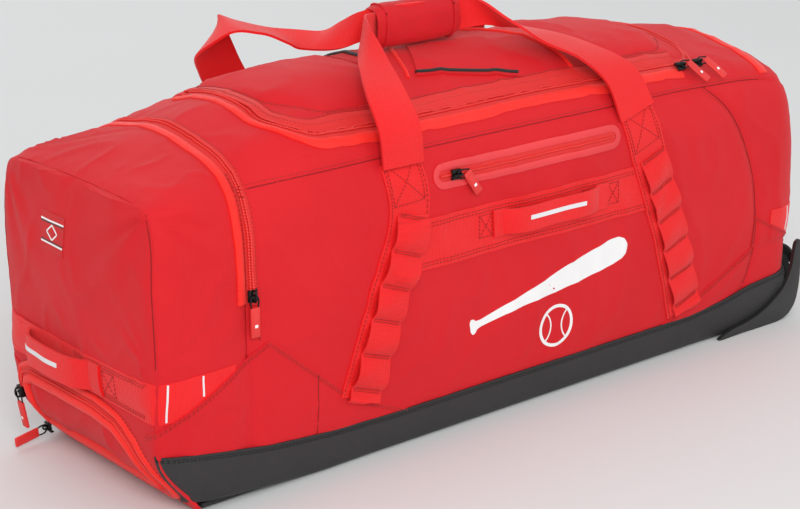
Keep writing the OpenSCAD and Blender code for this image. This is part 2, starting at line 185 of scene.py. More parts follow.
def woven(name, colour, thread=1.1 * MM, depth=0.16 * MM, sheen=0.06, coords="UV", wear=0.12):
    """Plain weave: threads cross at a fine pitch, with slubs, soft mottling and a little sheen."""
    n = Nodes(name)
    warp, weft = n.wave(0, thread, coords), n.wave(1, thread, coords)
    cross = n.calc("MULTIPLY", warp, weft)
    slub = n.noise(420, 2)
    mottle = n.noise(9, 4)
    height = n.calc("ADD", cross, n.calc("MULTIPLY", slub, 0.9))
    by = n.calc("ADD", n.calc("MULTIPLY", cross, 0.25), n.calc("MULTIPLY", mottle, 0.75))
    n.tint(shade(colour, 1 + wear), shade(colour, 1 - wear), by)
    n.rough(mottle, 0.62, 0.8)
    n.bump(height, depth)
    n.shader.inputs["Sheen Weight"].default_value = sheen
    n.shader.inputs["Sheen Roughness"].default_value = 0.45
    n.shader.inputs["Specular IOR Level"].default_value = 0.35
    return n.material


def ribbed(name, colour, pitch=1.7 * MM, depth=0.28 * MM, gloss=0.5, across=4.4 * MM):
    """Webbing or tape: ribs run across the strip, with a faint lengthwise grouping of the yarns."""
    n = Nodes(name)
    ribs, groups = n.wave(0, pitch), n.wave(1, across)
    fuzz, mottle = n.noise(600, 2), n.noise(14, 3)
    height = n.calc("ADD", ribs, n.calc("ADD", n.calc("MULTIPLY", groups, 0.25),
            n.calc("MULTIPLY", fuzz, 0.6)))
    by = n.calc("SUBTRACT", n.calc("ADD", n.calc("MULTIPLY", mottle, 0.5), 0.45),
                n.calc("MULTIPLY", ribs, 0.3))
    n.tint(shade(colour, 1.1), shade(colour, 0.84), by)
    n.rough(mottle, gloss, gloss + 0.18)
    n.bump(height, depth)
    n.shader.inputs["Sheen Weight"].default_value = 0.1
    n.shader.inputs["Specular IOR Level"].default_value = 0.4
    return n.material


def embossed(name, colour, pitch=2.4 * MM, depth=0.3 * MM):
    """Coated base fabric: a fine diagonal emboss, satin, with dull scuffs."""
    n = Nodes(name)
    grid = n.calc("MULTIPLY", n.wave(0, pitch, lean=0.6), n.wave(0, pitch, lean=-0.6))
    scuff = n.noise(22, 6)
    n.tint(shade(colour, 1.35), shade(colour, 0.8), n.calc("MULTIPLY", n.calc("ADD", grid, scuff), 0.5))
    n.rough(scuff, 0.42, 0.62)
    n.bump(n.calc("ADD", grid, n.calc("MULTIPLY", n.noise(500, 2), 0.4)), depth)
    return n.material


def moulded(name, colour, low=0.35, high=0.5, grain=700, depth=0.05 * MM, wear=0.15, metal=0.0):
    """Moulded or painted surface with a fine grain, faint colour drift and uneven gloss."""
    n = Nodes(name)
    drift = n.noise(18, 4)
    n.tint(shade(colour, 1 + wear), shade(colour, 1 - wear), drift)
    n.rough(n.noise(60, 5), low, high)
    n.bump(n.noise(grain, 3), depth)
    n.shader.inputs["Metallic"].default_value = metal
    return n.material


RED = srgb(0.815, 0.035, 0.095)
BRIGHT = srgb(0.93, 0.02, 0.05)
ORANGE = srgb(0.97, 0.10, 0.04)
BLACK = srgb(0.145, 0.14, 0.145)

M_FABRIC = woven("body_weave", RED)
M_GRIP = woven("grip_weave", shade(RED, 0.93), coords="Object", thread=1.3 * MM)
M_LINING = woven("lining_weave", srgb(0.16, 0.16, 0.17), sheen=0.0)
M_WEBBING = ribbed("webbing_rib", BRIGHT)
M_BINDING = ribbed("binding_grosgrain", ORANGE, pitch=1.1 * MM, depth=0.12 * MM, gloss=0.45)
M_TAPE = ribbed("zip_tape", srgb(0.86, 0.12, 0.11), pitch=0.9 * MM, depth=0.1 * MM)
M_COIL = moulded("zip_coil", srgb(0.87, 0.15, 0.13), 0.3, 0.42)
M_FILM = moulded("welded_film", srgb(0.87, 0.20, 0.22), 0.42, 0.55, grain=300)
M_BOOT = embossed("base_emboss", BLACK)
M_EDGE = ribbed("black_binding", srgb(0.13, 0.12, 0.12), pitch=1.2 * MM, depth=0.15 * MM)
M_PRINT = moulded("white_print", srgb(0.93, 0.93, 0.93), 0.45, 0.6, wear=0.04)
M_REFLECT = moulded("reflective_strip", srgb(0.88, 0.88, 0.89), 0.3, 0.45, wear=0.06)
M_LABEL = woven("label_weave", srgb(0.80, 0.10, 0.12), thread=0.6 * MM, coords="Object")
M_PLASTIC = moulded("moulded_black", srgb(0.145, 0.14, 0.14), 0.38, 0.52)
M_STEEL = moulded("plated_steel", srgb(0.72, 0.72, 0.74), 0.22, 0.34, metal=1.0, wear=0.05)
M_TYRE = moulded("tyre_rubber", srgb(0.10, 0.10, 0.10), 0.6, 0.8, grain=350)
M_HUB = moulded("hub_plastic", srgb(0.24, 0.24, 0.25), 0.4, 0.55)
M_SLIDER = moulded("slider_paint", srgb(0.09, 0.09, 0.09), 0.2, 0.32, metal=0.6, wear=0.25)
M_PULL = moulded("pull_rubber", srgb(0.86, 0.19, 0.18), 0.45, 0.6, grain=420)
# Painted shade: dark red for the seam strips, standing in for the shadow in the seams' grooves.
M_SEAM_SHADOW = woven("seam_weave", shade(RED, 0.45), thread=0.8 * MM, sheen=0.0)
M_THREAD = ribbed("red_thread", srgb(0.70, 0.10, 0.10), pitch=0.8 * MM, depth=0.08 * MM)
M_THREAD_DARK = ribbed("black_thread", srgb(0.10, 0.10, 0.10), pitch=0.8 * MM, depth=0.08 * MM)

# ---------- meshes ----------


def add_mesh(name, verts, faces, material, uv=None, lining=None, inner=None, sharp=42):
    """A mesh object from its points and faces, with material, UVs and lining."""
    mesh = bpy.data.meshes.new(name)
    mesh.from_pydata([tuple(v) for v in verts], [], [tuple(int(i) for i in f) for f in faces])
    mesh.materials.append(material)
    if lining is not None:
        mesh.materials.append(lining)
        mesh.polygons.foreach_set("material_index", np.asarray(inner, np.int32))
    if uv is not None:
        layer = mesh.uv_layers.new(name="UVMap")
        index = np.zeros(len(mesh.loops), np.int32)
        mesh.loops.foreach_get("vertex_index", index)
        layer.data.foreach_set("uv", np.asarray(uv, np.float32)[index].ravel())
    mesh.validate()
    mesh.update()
    mesh.shade_smooth()
    mesh.set_sharp_from_angle(angle=math.radians(sharp))
    obj = bpy.data.objects.new(name, mesh)
    bpy.context.scene.collection.objects.link(obj)
    return obj


def grid_normals(P, wrap=False):
    """Unit normals of a grid of points. wrap joins its first and last rows."""
    if wrap:
        ds = np.roll(P, -1, 0) - np.roll(P, 1, 0)
    else:
        ds = np.gradient(P, axis=0)
    dt = np.gradient(P, axis=1)
    N = np.cross(ds, dt)
    return N / np.maximum(np.linalg.norm(N, axis=2, keepdims=True), 1e-12)


def grid_faces(ns, nt, wrap, base, flip):
    """Quads of a grid of ns by nt points whose first index is base."""
    i, j = np.meshgrid(np.arange(ns if wrap else ns - 1), np.arange(nt - 1), indexing="ij")
    i2 = (i + 1) % ns
    quads = np.stack([i * nt + j, i2 * nt + j, i2 * nt + j + 1, i * nt + j + 1], -1).reshape(-1, 4) + base
    return quads[:, ::-1] if flip else quads


def border(ns, nt, wrap):
    """Index loops round the grid's edge: one loop, or two where the grid wraps."""
    index = np.arange(ns * nt).reshape(ns, nt)
    if wrap:
        return [index[:, 0], index[::-1, -1]]
    return [np.concatenate([index[:-1, 0], index[-1, :-1], index[:0:-1, -1], index[0, :0:-1]])]


def slab_mesh(P, low, wrap=False):
    """Verts, faces and inner flags of the closed solid between grid P and grid low behind it."""
    ns, nt = P.shape[:2]
    count = ns * nt
    verts = np.concatenate([P.reshape(-1, 3), low.reshape(-1, 3)])
    top = grid_faces(ns, nt, wrap, 0, False)
    under = grid_faces(ns, nt, wrap, count, True)
    walls = []
    for loop in border(ns, nt, wrap):
        nxt = np.roll(loop, -1)
        walls.append(np.stack([loop, loop + count, nxt + count, nxt], -1))
    walls = np.concatenate(walls)
    inner = np.concatenate([np.zeros(len(top)), np.ones(len(under)), np.zeros(len(walls))])
    return verts, np.concatenate([top, under, walls]), inner


def slab(name, P, N_hint, thick, material, uv=None, lining=None, wrap=False, out=0.0, sharp=42):
    """A sheet of the given thickness behind grid P, moved out along its normals first."""
    if float((grid_normals(P, wrap) * N_hint).sum()) < 0:
        P = P[:, ::-1]
        uv = None if uv is None else uv[:, ::-1]
    N = grid_normals(P, wrap)
    P = P + N * (out[..., None] if isinstance(out, np.ndarray) else out)
    verts, faces, inner = slab_mesh(P, P - N * thick, wrap)
    both = None if uv is None else np.concatenate([uv.reshape(-1, 2)] * 2)
    return add_mesh(name, verts, faces, material, both, lining, inner if lining is not None else None, sharp)


def mirrored(obj, name):
    """A copy of obj on the other side of the bag."""
    mesh = obj.data.copy()
    mesh.name = name
    mesh.transform(Matrix.Scale(-1, 4, (0, 1, 0)))
    mesh.flip_normals()
    other = bpy.data.objects.new(name, mesh)
    bpy.context.scene.collection.objects.link(other)
    return other


def joined(name, parts):
    """One object from several, keeping their materials and UVs."""
    bm = bmesh.new()
    bm.loops.layers.uv.new("UVMap")  # filled from the parts below
    mats = []
    for part in parts:
        slots = []
        for m in part.data.materials:
            if m not in mats:
                mats.append(m)
            slots.append(mats.index(m))
        first = len(bm.faces)
        bm.from_mesh(part.data)
        bm.faces.ensure_lookup_table()
        for face in bm.faces[first:]:
            face.material_index = slots[face.material_index] if slots else 0
        bpy.data.objects.remove(part)
    mesh = bpy.data.meshes.new(name)
    bm.to_mesh(mesh)
    bm.free()
    for m in mats:
        mesh.materials.append(m)
    mesh.set_sharp_from_angle(angle=math.radians(42))
    obj = bpy.data.objects.new(name, mesh)
    bpy.context.scene.collection.objects.link(obj)
    return obj


# ---------- the bag's form ----------

HALF_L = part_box("front_panel")[1].x
HALF_W = -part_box("front_panel")[0].y
SEAM_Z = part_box("front_panel")[1].z
BASE_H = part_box("base_boot")[1].z
LID_LO, LID_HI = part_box("lid_panel")
NEAR_X = -HALF_L
FLAP_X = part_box("flap_gusset")[1].x
WALL_FOOT = BASE_H - 4 * MM
PANEL_T = 3.4 * MM
NEAR_R, WHEEL_R = 14 * MM, 45 * MM


def smooth(knots, values, x):
    """Smooth curve through the knots, level beyond their ends."""
    k, v = np.asarray(knots, float), np.asarray(values, float)
    x = np.clip(np.asarray(x, float), k[0], k[-1])
    m = np.gradient(v, k, axis=0)
    i = np.clip(np.searchsorted(k, x, side="right") - 1, 0, len(k) - 2)
    h = k[i + 1] - k[i]
    s = (x - k[i]) / h
    for _ in range(v.ndim - 1):
        s, h = s[..., None], h[..., None]
    return ((1 + 2 * s) * (1 - s) ** 2 * v[i] + s * (1 - s) ** 2 * h * m[i]
            + s * s * (3 - 2 * s) * v[i + 1] + s * s * (s - 1) * h * m[i + 1])


# Half cross-sections in mm, each at a place along X. Points run up the side: foot, middle, shoulder start,
# shoulder, top seam, mid slope, zip line, quarter and crown. Each is (distance from the middle, height).
FOOT, TOP_SEAM = 0, 4
SECTIONS = {
    -432: [(121.5, 33), (128.5, 150), (129, 220), (127, 262), (119, 285), (109, 290), (96, 292), (50, 293.5),
           (0, 294)],
    -385: [(123, 33), (128, 150), (128, 220), (125, 264), (117, 288), (107, 296), (93, 301), (48, 308),
           (0, 311)],
    -338: [(124.5, 33), (127, 150), (126.5, 220), (122.5, 262), (112.5, 288), (102, 299), (89, 307),
           (47, 318), (0, 324)],
    -305: [(124.5, 33), (127.5, 150), (126.5, 220), (124.5, 262), (117.5, 290.5), (107, 303), (94, 313),
           (50, 326), (0, 333)],
    -272: [(124.5, 33), (127.5, 150), (126.5, 220), (125, 262), (119, 291), (110, 305), (99, 316), (55, 333),
           (0, 341)],
    -150: [(124.5, 33), (127.5, 150), (126.5, 220), (125, 262), (119, 292), (111, 306), (100, 317), (55, 343),
           (0, 352)],
    100: [(124.5, 33), (127.5, 150), (126.5, 220), (125, 262), (119, 292), (111, 306), (100, 317), (55, 343),
          (0, 352)],
    268: [(124.5, 33), (127.5, 150), (126.5, 220), (124.5, 262), (118, 291), (109, 303), (98, 312), (55, 328),
          (0, 336)],
    352: [(124.5, 33), (127.5, 150), (126.5, 220), (123.5, 262), (118, 286), (106, 296), (87, 304), (45, 316),
          (0, 322)],
    400: [(124.5, 33), (127.5, 150), (126.5, 220), (123.5, 258), (119, 276), (104, 285), (83, 291), (45, 299),
          (0, 303)],
    430: [(124.5, 33), (127.5, 150), (126.5, 220), (123.5, 250), (119.5, 263), (101, 268), (80, 270.5),
          (45, 274), (0, 276)],
}
SECTION_X = np.array(list(SECTIONS)) * MM
SECTION_YZ = np.array(list(SECTIONS.values())) * MM
GRID_X = np.linspace(SECTION_X[0], SECTION_X[-1], 260)
GRID_S = smooth(SECTION_X, SECTION_YZ, GRID_X)
ROWS = 80
UNIT = np.linspace(0, 1, ROWS)
# Ends of the body: how far each end stands out at each height
NEAR_PROFILE = np.array([(0, -390), (20, -405), (50, -427), (92, -435), (142, -433), (220, -434),
                         (294, -430)]) * MM
WHEEL_PROFILE = np.array([(0, 430), (37, 431), (120, 431), (190, 428), (240, 423.5), (276, 418)]) * MM


def wall_table():
    out = np.zeros((len(GRID_X), ROWS))
    for i, row in enumerate(GRID_S):
        z = row[FOOT, 1] + UNIT * (row[TOP_SEAM, 1] - row[FOOT, 1])
        out[i] = smooth(row[:TOP_SEAM + 1, 1], row[:TOP_SEAM + 1, 0], z)
    return out


def top_table():
    out = np.zeros((len(GRID_X), ROWS))
    for i, row in enumerate(GRID_S):
        half = row[:TOP_SEAM - 1:-1]
        y = np.concatenate([[-half[1, 0]], half[:, 0]])
        z = np.concatenate([[half[1, 1]], half[:, 1]])
        out[i] = smooth(y, z, UNIT * row[TOP_SEAM, 0])
    return out


def over_table():
    out = np.zeros((len(GRID_X), ROWS, 2))
    for i, row in enumerate(GRID_S):
        whole = np.concatenate([row, row[-2:-3:-1] * (-1, 1)])
        run = np.concatenate([[0], np.cumsum(np.linalg.norm(np.diff(whole, axis=0), axis=1))])
        out[i] = smooth(run, whole, UNIT * run[-2])
    return out


WALL, TOP, OVER = wall_table(), top_table(), over_table()


def look(table, px, u):
    """Value of a table at px along the bag and u from 0 to 1 along its rows."""
    i = np.clip((px - GRID_X[0]) / (GRID_X[-1] - GRID_X[0]), 0, 1) * (len(GRID_X) - 1)
    j = np.clip(u, 0, 1) * (ROWS - 1)
    i0, j0 = np.minimum(i.astype(int), len(GRID_X) - 2), np.minimum(j.astype(int), ROWS - 2)
    fi, fj = i - i0, j - j0
    if table.ndim == 3:
        fi, fj = fi[..., None], fj[..., None]
    near = table[i0, j0] * (1 - fj) + table[i0, j0 + 1] * fj
    far = table[i0 + 1, j0] * (1 - fj) + table[i0 + 1, j0 + 1] * fj
    return near * (1 - fi) + far * fi


def seam_height(px):
    """Height of the top seam at a place along the bag."""
    return np.interp(px, GRID_X, GRID_S[:, TOP_SEAM, 1])


def ramp(x, start, end):
    """0 before start, 1 after end and smooth between them."""
    t = np.clip((x - start) / (end - start), 0, 1)
    return t * t * (3 - 2 * t)


def arc(cx, cy, r, start, count=12):
    """A quarter circle from a start angle in degrees."""
    a = np.radians(start + np.linspace(0, 90, count))
    return np.stack([cx + r * np.cos(a), cy + r * np.sin(a)], 1)


def plan_loop():
    """Plan of the wall from the middle of the near end, round the front, the wheel end and the back."""
    x0, x1, w = NEAR_X, HALF_L - 2 * MM, HALF_W
    points = np.concatenate([
        [(x0, 0)], arc(x0 + NEAR_R, -w + NEAR_R, NEAR_R, 180), arc(x1 - WHEEL_R, -w + WHEEL_R, WHEEL_R, 270),
        [(x1, 0)], arc(x1 - WHEEL_R, w - WHEEL_R, WHEEL_R, 0), arc(x0 + NEAR_R, w - NEAR_R, NEAR_R,
                90), [(x0, 0)],
    ])
    run = np.concatenate([[0], np.cumsum(np.linalg.norm(np.diff(points, axis=0), axis=1))])
    fine = np.linspace(0, run[-1], 2400)
    xy = np.stack([np.interp(fine, run, points[:, k]) for k in (0, 1)], 1)
    return fine, xy


PLAN_RUN, PLAN_XY = plan_loop()
# Distance round the plan is counted so that on the front's straight part it equals X
PLAN_RUN = PLAN_RUN + (PLAN_XY[600, 0] - PLAN_RUN[600])
PLAN_T = np.gradient(PLAN_XY, axis=0)
PLAN_N = np.stack([PLAN_T[:, 1], -PLAN_T[:, 0]], 1) / np.linalg.norm(PLAN_T, axis=1)[:, None]
WHEEL_MID = PLAN_RUN[np.argmax(PLAN_XY[:, 0] + (np.abs(PLAN_XY[:, 1]) < 1 * MM))]


def plan(a):
    """Point of the plan outline at run a, and its normal."""
    pick = lambda column: np.interp(a, PLAN_RUN, column)
    return pick(PLAN_XY[:, 0]), pick(PLAN_XY[:, 1]), pick(PLAN_N[:, 0]), pick(PLAN_N[:, 1])


def end_shift(px, z):
    """How far the ends' profiles move a wall point along X."""
    near = (smooth(NEAR_PROFILE[:, 0], NEAR_PROFILE[:, 1], z) - NEAR_X) * ramp(-px, 0.37, -NEAR_X)
    far = (smooth(WHEEL_PROFILE[:, 0], WHEEL_PROFILE[:, 1], z) - HALF_L + 2 * MM) * ramp(px, 0.36,
            HALF_L - 2 * MM)
    return near + far


def vec(*parts):
    """One array of vectors from their parts."""
    return np.stack(np.broadcast_arrays(*parts), -1)


def wall(a, z):
    """Wall point at distance a round the plan and height z, and which way it faces."""
    px, py, nx, ny = plan(a)
    foot = SECTIONS[-150][FOOT][1] * MM
    u = (z - foot) / (seam_height(px) - foot)
    below = np.minimum(z - foot, 0)
    width = look(WALL, px, u) + 0.1 * below
    return vec(px + end_shift(px, z), py / HALF_W * width, z), vec(nx, ny, 0 * nx)


def half_width_plan(px):
    """Half width of the plan at px along the bag, as a share of the full half width."""
    into = np.clip(px - (HALF_L - 2 * MM - WHEEL_R), 0, WHEEL_R)
    return (HALF_W - WHEEL_R + np.sqrt(np.maximum(WHEEL_R ** 2 - into ** 2, 0))) / HALF_W


TOP_X = GRID_X + end_shift(GRID_X, GRID_S[:, TOP_SEAM, 1])


def top(x, y):
    """Top point over plan position x, y."""
    px = np.interp(x, TOP_X, GRID_X)
    reach = np.interp(px, GRID_X, GRID_S[:, TOP_SEAM, 0]) * half_width_plan(px)
    z = look(TOP, px, np.abs(y) / np.maximum(reach, 1 * MM))
    return vec(x, y, z), vec(0 * x, 0 * x, 1 + 0 * x)


def over(px, u):
    """Point on the cross-section at px: u runs from -1, the front foot, over the crown to 1, the back foot."""
    yz = look(OVER, px, 1 - np.abs(u))
    ahead = look(OVER, px, np.clip(1 - np.abs(u) + 0.02, 0, 1)) - look(OVER, px,
            np.clip(1 - np.abs(u) - 0.02, 0, 1))
    side = np.where(u < 0, -1.0, 1.0)
    n = np.stack([ahead[..., 1], -ahead[..., 0]], -1)
    n = n / np.maximum(np.linalg.norm(n, axis=-1, keepdims=True), 1e-9)
    return (vec(px + end_shift(px, yz[..., 1]), side * yz[..., 0], yz[..., 1]),
            vec(0 * px, side * n[..., 0], n[..., 1]))


def over_at(px, z):
    """The u of over() on the front side at height z."""
    column = look(OVER, np.full(ROWS, px), UNIT)
    return float(np.interp(z, column[:, 1], UNIT)) - 1


def end_width(z):
    """Half width of the near end's face at height z."""
    return np.interp(z, OVER[0][:, 1], OVER[0][:, 0])


def end_face(y, z):
    """Point on the near end's face, which swells a little in its middle."""
    swell = 5 * MM * np.clip(1 - (y / HALF_W) ** 2, 0, 1) * np.sin(np.clip((z - 0.1) / 0.2, 0, 1) * math.pi)
    return vec(smooth(NEAR_PROFILE[:, 0], NEAR_PROFILE[:, 1], z) - swell, y, z), vec(-1 + 0 * z, 0 * z, 0 * z)


# ---------- sheets of fabric on the form ----------


def resample(path, count):
    """count points spread evenly along a polyline."""
    path = np.asarray(path, float)
    run = np.concatenate([[0], np.cumsum(np.linalg.norm(np.diff(path, axis=0), axis=1))])
    at = np.linspace(0, run[-1], count)
    return np.stack([np.interp(at, run, path[:, k]) for k in range(path.shape[1])], 1)


def rounded(path, count):
    """Smooth curve through a few points, with count points spread along it."""
    path = np.asarray(path, float)
    run = np.concatenate([[0], np.cumsum(np.linalg.norm(np.diff(path, axis=0), axis=1))])
    return resample(smooth(run, path, np.linspace(0, run[-1], count * 4)), count)


def between(a, b, count):
    """Grid of chart positions from curve a to curve b, which have as many points each."""
    t = np.linspace(0, 1, count)[None, :, None]
    return a[:, None] * (1 - t) + b[:, None] * t


def filled(loop, axis, at, count, reach, inset=0.0):
    """Grid inside a closed outline: a line across it at each value of at along one axis."""
    spans = []
    for v in at:
        across = loop[np.abs(loop[:, axis] - v) < reach][:, 1 - axis]
        spans.append((across.min() + inset, across.max() - inset))
    spans = np.array(spans)
    s = np.linspace(0, 1, count)[None, :]
    ends = spans[:, :1] * (1 - s) + spans[:, 1:] * s
    places = np.broadcast_to(at[:, None], ends.shape)
    return np.stack([places, ends] if axis == 0 else [ends, places], -1)


def ripple(P, scale, seed):
    """Smooth noise at every point of a grid."""
    flat = P.reshape(-1, 3)
    return np.array([noise.noise(Vector(p * scale) + Vector((seed, seed,
            seed))) for p in flat]).reshape(P.shape[:2])


def edge_distance(P, wrap=False):
    """Distance of each grid point from the grid's edge, measured along its rows and columns."""
    across = np.linalg.norm(np.diff(P, axis=1), axis=2)
    c = np.concatenate([np.zeros((len(P), 1)), np.cumsum(across, 1)], 1)
    e = np.minimum(c, c[:, -1:] - c)
    if wrap:
        return e
    along = np.linalg.norm(np.diff(P, axis=0), axis=2)
    r = np.concatenate([np.zeros((1, P.shape[1])), np.cumsum(along, 0)], 0)
    return np.minimum(e, np.minimum(r, r[-1:] - r))


def fan_folds(P, seed, pull):
    """Folds that radiate from a pulled point and die away from it."""
    at, reach, depth = pull
    d = P - np.array(at)
    r = np.linalg.norm(d, axis=2)
    heading = np.arctan2(d[..., 2], d[..., 0] + d[..., 1])
    waves = np.sin(heading * 9 + seed + 1.5 * np.sin(heading * 4 + seed * 2))
    return depth * waves * np.exp(-r / reach) * (1 - np.exp(-r / (14 * MM)))


def fabric(name, chart, grid, seed=1.0, puff=2.0 * MM, dip=1.8 * MM, crumple=1.0, wrap=False, thick=PANEL_T,
           material=None, lining=True, uv=None, pulls=()):
    """A sewn panel on a chart: it puffs between its seams, dips at them and wrinkles softly."""
    P, N = chart(grid[..., 0], grid[..., 1])
    e = edge_distance(P, wrap)
    rise = puff * (1 - np.exp(-e / (30 * MM))) - dip * np.exp(-e / (4.5 * MM))
    calm = 1 - np.exp(-e / (12 * MM))
    broad = ripple(P, 11, seed) * 2.2 * MM
    fold = (1 - np.abs(ripple(P * (1, 1, 0.6), 22, seed + 7))) ** 7 * 1.9 * MM
    fine = ripple(P, 75, seed + 3) * 0.25 * MM
    pucker = ripple(P, 120, seed + 5) * 0.8 * MM * np.exp(-e / (9 * MM))
    out = rise + crumple * (calm * (broad + fold + fine) + pucker) + calm * sum(fan_folds(P, seed,
            p) for p in pulls)
    return slab(name, P, N, thick, material or M_FABRIC, grid if uv is None else uv,
                M_LINING if lining else None, wrap, out)


WHEEL_SEAM = np.array([
    (328, 33), (334, 50), (346, 80), (350, 106), (349, 140), (341, 180), (328, 214), (314, 240), (292,
            268), (268, 287),
    (263, 291)]) * MM


def front_sheet(name):
    """The front panel, from the flap's seam to the wheel end's seam."""
    rows = 52
    right = rounded(WHEEL_SEAM, rows)
    left = np.stack([np.full(rows, FLAP_X + 1 * MM), np.linspace(WALL_FOOT, seam_height(FLAP_X), rows)], 1)
    right[:, 1] = np.interp(right[:, 1], [right[0, 1], right[-1, 1]], [WALL_FOOT, seam_height(right[-1, 0])])
    grid = between(left, right, 112)
    grid[..., 1] = np.minimum(grid[..., 1], seam_height(grid[..., 0]))
    grid[-1, :, 1] = seam_height(grid[-1, :, 0])
    return fabric(name, wall, grid, seed=3.0)


pieces = {}


def keep(obj, body, slot, *stands_for):
    """Records a finished piece with its body, its finish and the CAD nodes it stands for."""
    pieces[obj.name] = (obj, body, slot, stands_for)
    return obj


front = keep(front_sheet("front_fabric"), "bag", "body_fabric", "front_panel")
keep(mirrored(front, "back_fabric"), "bag", "body_fabric", "back_panel")


def wheel_sheet():
    """The wheel end's fabric above its band."""
    rows = 52
    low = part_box("wheel_end_band")[0].z - 4 * MM
    seam = rounded(WHEEL_SEAM, rows * 4)
    seam = resample(seam[seam[:, 1] > low], rows)
    seam[:, 1] = np.interp(seam[:, 1], [seam[0, 1], seam[-1, 1]], [low, seam_height(seam[-1, 0])])
    far = seam.copy()
    far[:, 0] = 2 * WHEEL_MID - seam[:, 0]
    grid = between(seam, far, 90)
    x, y = plan(grid[..., 0])[:2]
    crest = top(np.full_like(y, TOP_X[-1] - 1 * MM), y)[0][..., 2] + 1.5 * MM
    ceiling = np.where(x > TOP_X[-1] - 12 * MM, np.maximum(seam_height(x), crest), seam_height(x))
    grid[..., 1] = low + (ceiling - low) * (grid[:, :1, 1] - low) / (grid[-1, 0, 1] - low)
    return fabric("wheel_end_fabric", wall, grid, seed=5.0, puff=3 * MM)


keep(wheel_sheet(), "bag", "body_fabric", "wheel_end_panel")

# Plan of the lid's opening, and of the seam round the bag's top
LID_X0, LID_X1, LID_Y0, LID_Y1 = LID_LO.x, LID_HI.x, LID_LO.y, LID_HI.y
LID_R = 46 * MM


def corner(cx, cy, r, start, split):
    """Half of a rounded corner, before or after its middle."""
    whole = arc(cx, cy, r, start, 13)
    return whole[:7] if split == 0 else whole[6:]


def lid_sides(grow, count):
    """The lid's outline grown by some distance, as its front, wheel, back and near sides."""
    x0, x1, y0, y1 = LID_X0 - grow, LID_X1 + grow, LID_Y0 - grow, LID_Y1 + grow
    r, s = LID_R + grow, 20 * MM + grow
    corners = [(x0 + r, y0 + r, r, 180), (x1 - s, y0 + s, s, 270), (x1 - s, y1 - s, s, 0),
               (x0 + s, y1 - s, s, 90)]
    sides = []
    for k in range(4):
        this, following = corners[k], corners[(k + 1) % 4]
        sides.append(resample(np.concatenate([corner(*this, 1), corner(*following, 0)]), count))
    return sides


def rim_sides(count):
    """The seam round the top, as its front, wheel, back and near sides in plan."""
    corner_run = HALF_L - 2 * MM - WHEEL_R * (1 - math.pi / 4)
    def seam(a0, a1):
        a = np.linspace(a0, a1, 400)
        P, _ = wall(a, seam_height(plan(a)[0]))
        return resample(P[:, :2], count)
    front_side = seam(FLAP_X + 1 * MM, corner_run)
    wheel_side = seam(corner_run, 2 * WHEEL_MID - corner_run)
    back_side = front_side[::-1] * (1, -1)
    near_side = np.linspace(back_side[-1], front_side[0], count)
    return [front_side, wheel_side, back_side, near_side]


def ring(outer, inner, count):
    """Grid from an outer loop to an inner loop, each given as sides that share their corners."""
    a = np.concatenate([s[:-1] for s in outer])
    b = np.concatenate([s[:-1] for s in inner])
    return between(a, b, count)


def top_sheet():
    """The fabric round the lid's opening."""
    outer, inner = rim_sides(90), lid_sides(0, 90)
    return fabric("top_fabric", top, ring(outer, inner, 14), seed=9.0, puff=1.2 * MM, wrap=True)


keep(top_sheet(), "bag", "body_fabric", "shoulders", "top_near_panel", "top_wheel_panel")


def lid_sheet():
    """The lid's fabric."""
    front_side, wheel_side, back_side, near_side = lid_sides(-0.6 * MM, 60)
    a = np.concatenate([near_side[30:-1], front_side, wheel_side[1:31]])
    b = np.concatenate([near_side[:31][::-1][:-1], back_side[::-1], wheel_side[30:][::-1][1:]])
    n = 110
    return fabric("lid_fabric", top, between(resample(a, n), resample(b, n), 44), seed=11.0, puff=1.5 * MM,
                  dip=1 * MM)


keep(lid_sheet(), "lid", "body_fabric", "lid_panel")


NEAR_PULLS = (
    ((NEAR_X, -HALF_W, 0.290), 70 * MM, 3.0 * MM), ((NEAR_X, HALF_W, 0.290), 70 * MM, 3.0 * MM),
    ((NEAR_X, -HALF_W, 0.150), 40 * MM, 1.6 * MM))


def gusset_sheet():
    """The near-end flap's gusset, from one side over the top to the other."""
    px = np.linspace(FLAP_X, NEAR_X + 1 * MM, 20)
    u = np.linspace(-1, 1, 300)
    grid = np.stack(np.meshgrid(u, px, indexing="ij")[::-1], -1)
    uv = np.stack(np.meshgrid(u * 0.4, px, indexing="ij"), -1)
    return fabric("near_gusset_fabric", over, grid, seed=14.0, puff=2.6 * MM, uv=uv, pulls=NEAR_PULLS)


def end_sheet():
    """The near end's upper face."""
    z = np.linspace(0.099, 0.2935, 60)
    s = np.linspace(-1, 1, 70)
    Z, S = np.meshgrid(z, s, indexing="ij")
    grid = np.stack([S * (end_width(Z) - 1 * MM), Z], -1)
    return fabric("near_end_fabric", end_face, grid, seed=17.0, puff=4 * MM, pulls=NEAR_PULLS)


def flap_blend(obj):
    """Bakes a fabric's object transform into its mesh."""
    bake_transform(obj)


gusset, end_upper = gusset_sheet(), end_sheet()

# ---------- what is sewn on: draped over the panels ----------


class Skin:
    """The outside met so far, for laying trim on it."""

    def __init__(self):
        self.verts, self.faces, self.tree = [], [], None

    def add(self, *objs):
        for o in objs:
            base = len(self.verts)
            self.verts += [tuple(v.co) for v in o.data.vertices]
            self.faces += [[i + base for i in p.vertices] for p in o.data.polygons]
        self.tree = BVHTree.FromPolygons(self.verts, self.faces)

    def lay(self, P, N, reach=40 * MM):
        """P moved along its facing direction onto the outside."""
        shape = P.shape
        flat, facing = P.reshape(-1, 3), N.reshape(-1, 3)
        out = np.array(flat)
        for i, (p, n) in enumerate(zip(flat, facing)):
            n = Vector(n).normalized()
            hit = self.tree.ray_cast(Vector(p) + n * reach, -n, 2 * reach)
            if hit[0] is not None:
                out[i] = hit[0]
        return out.reshape(shape)


skin = Skin()
skin.add(*[p[0] for p in pieces.values()], gusset, end_upper)


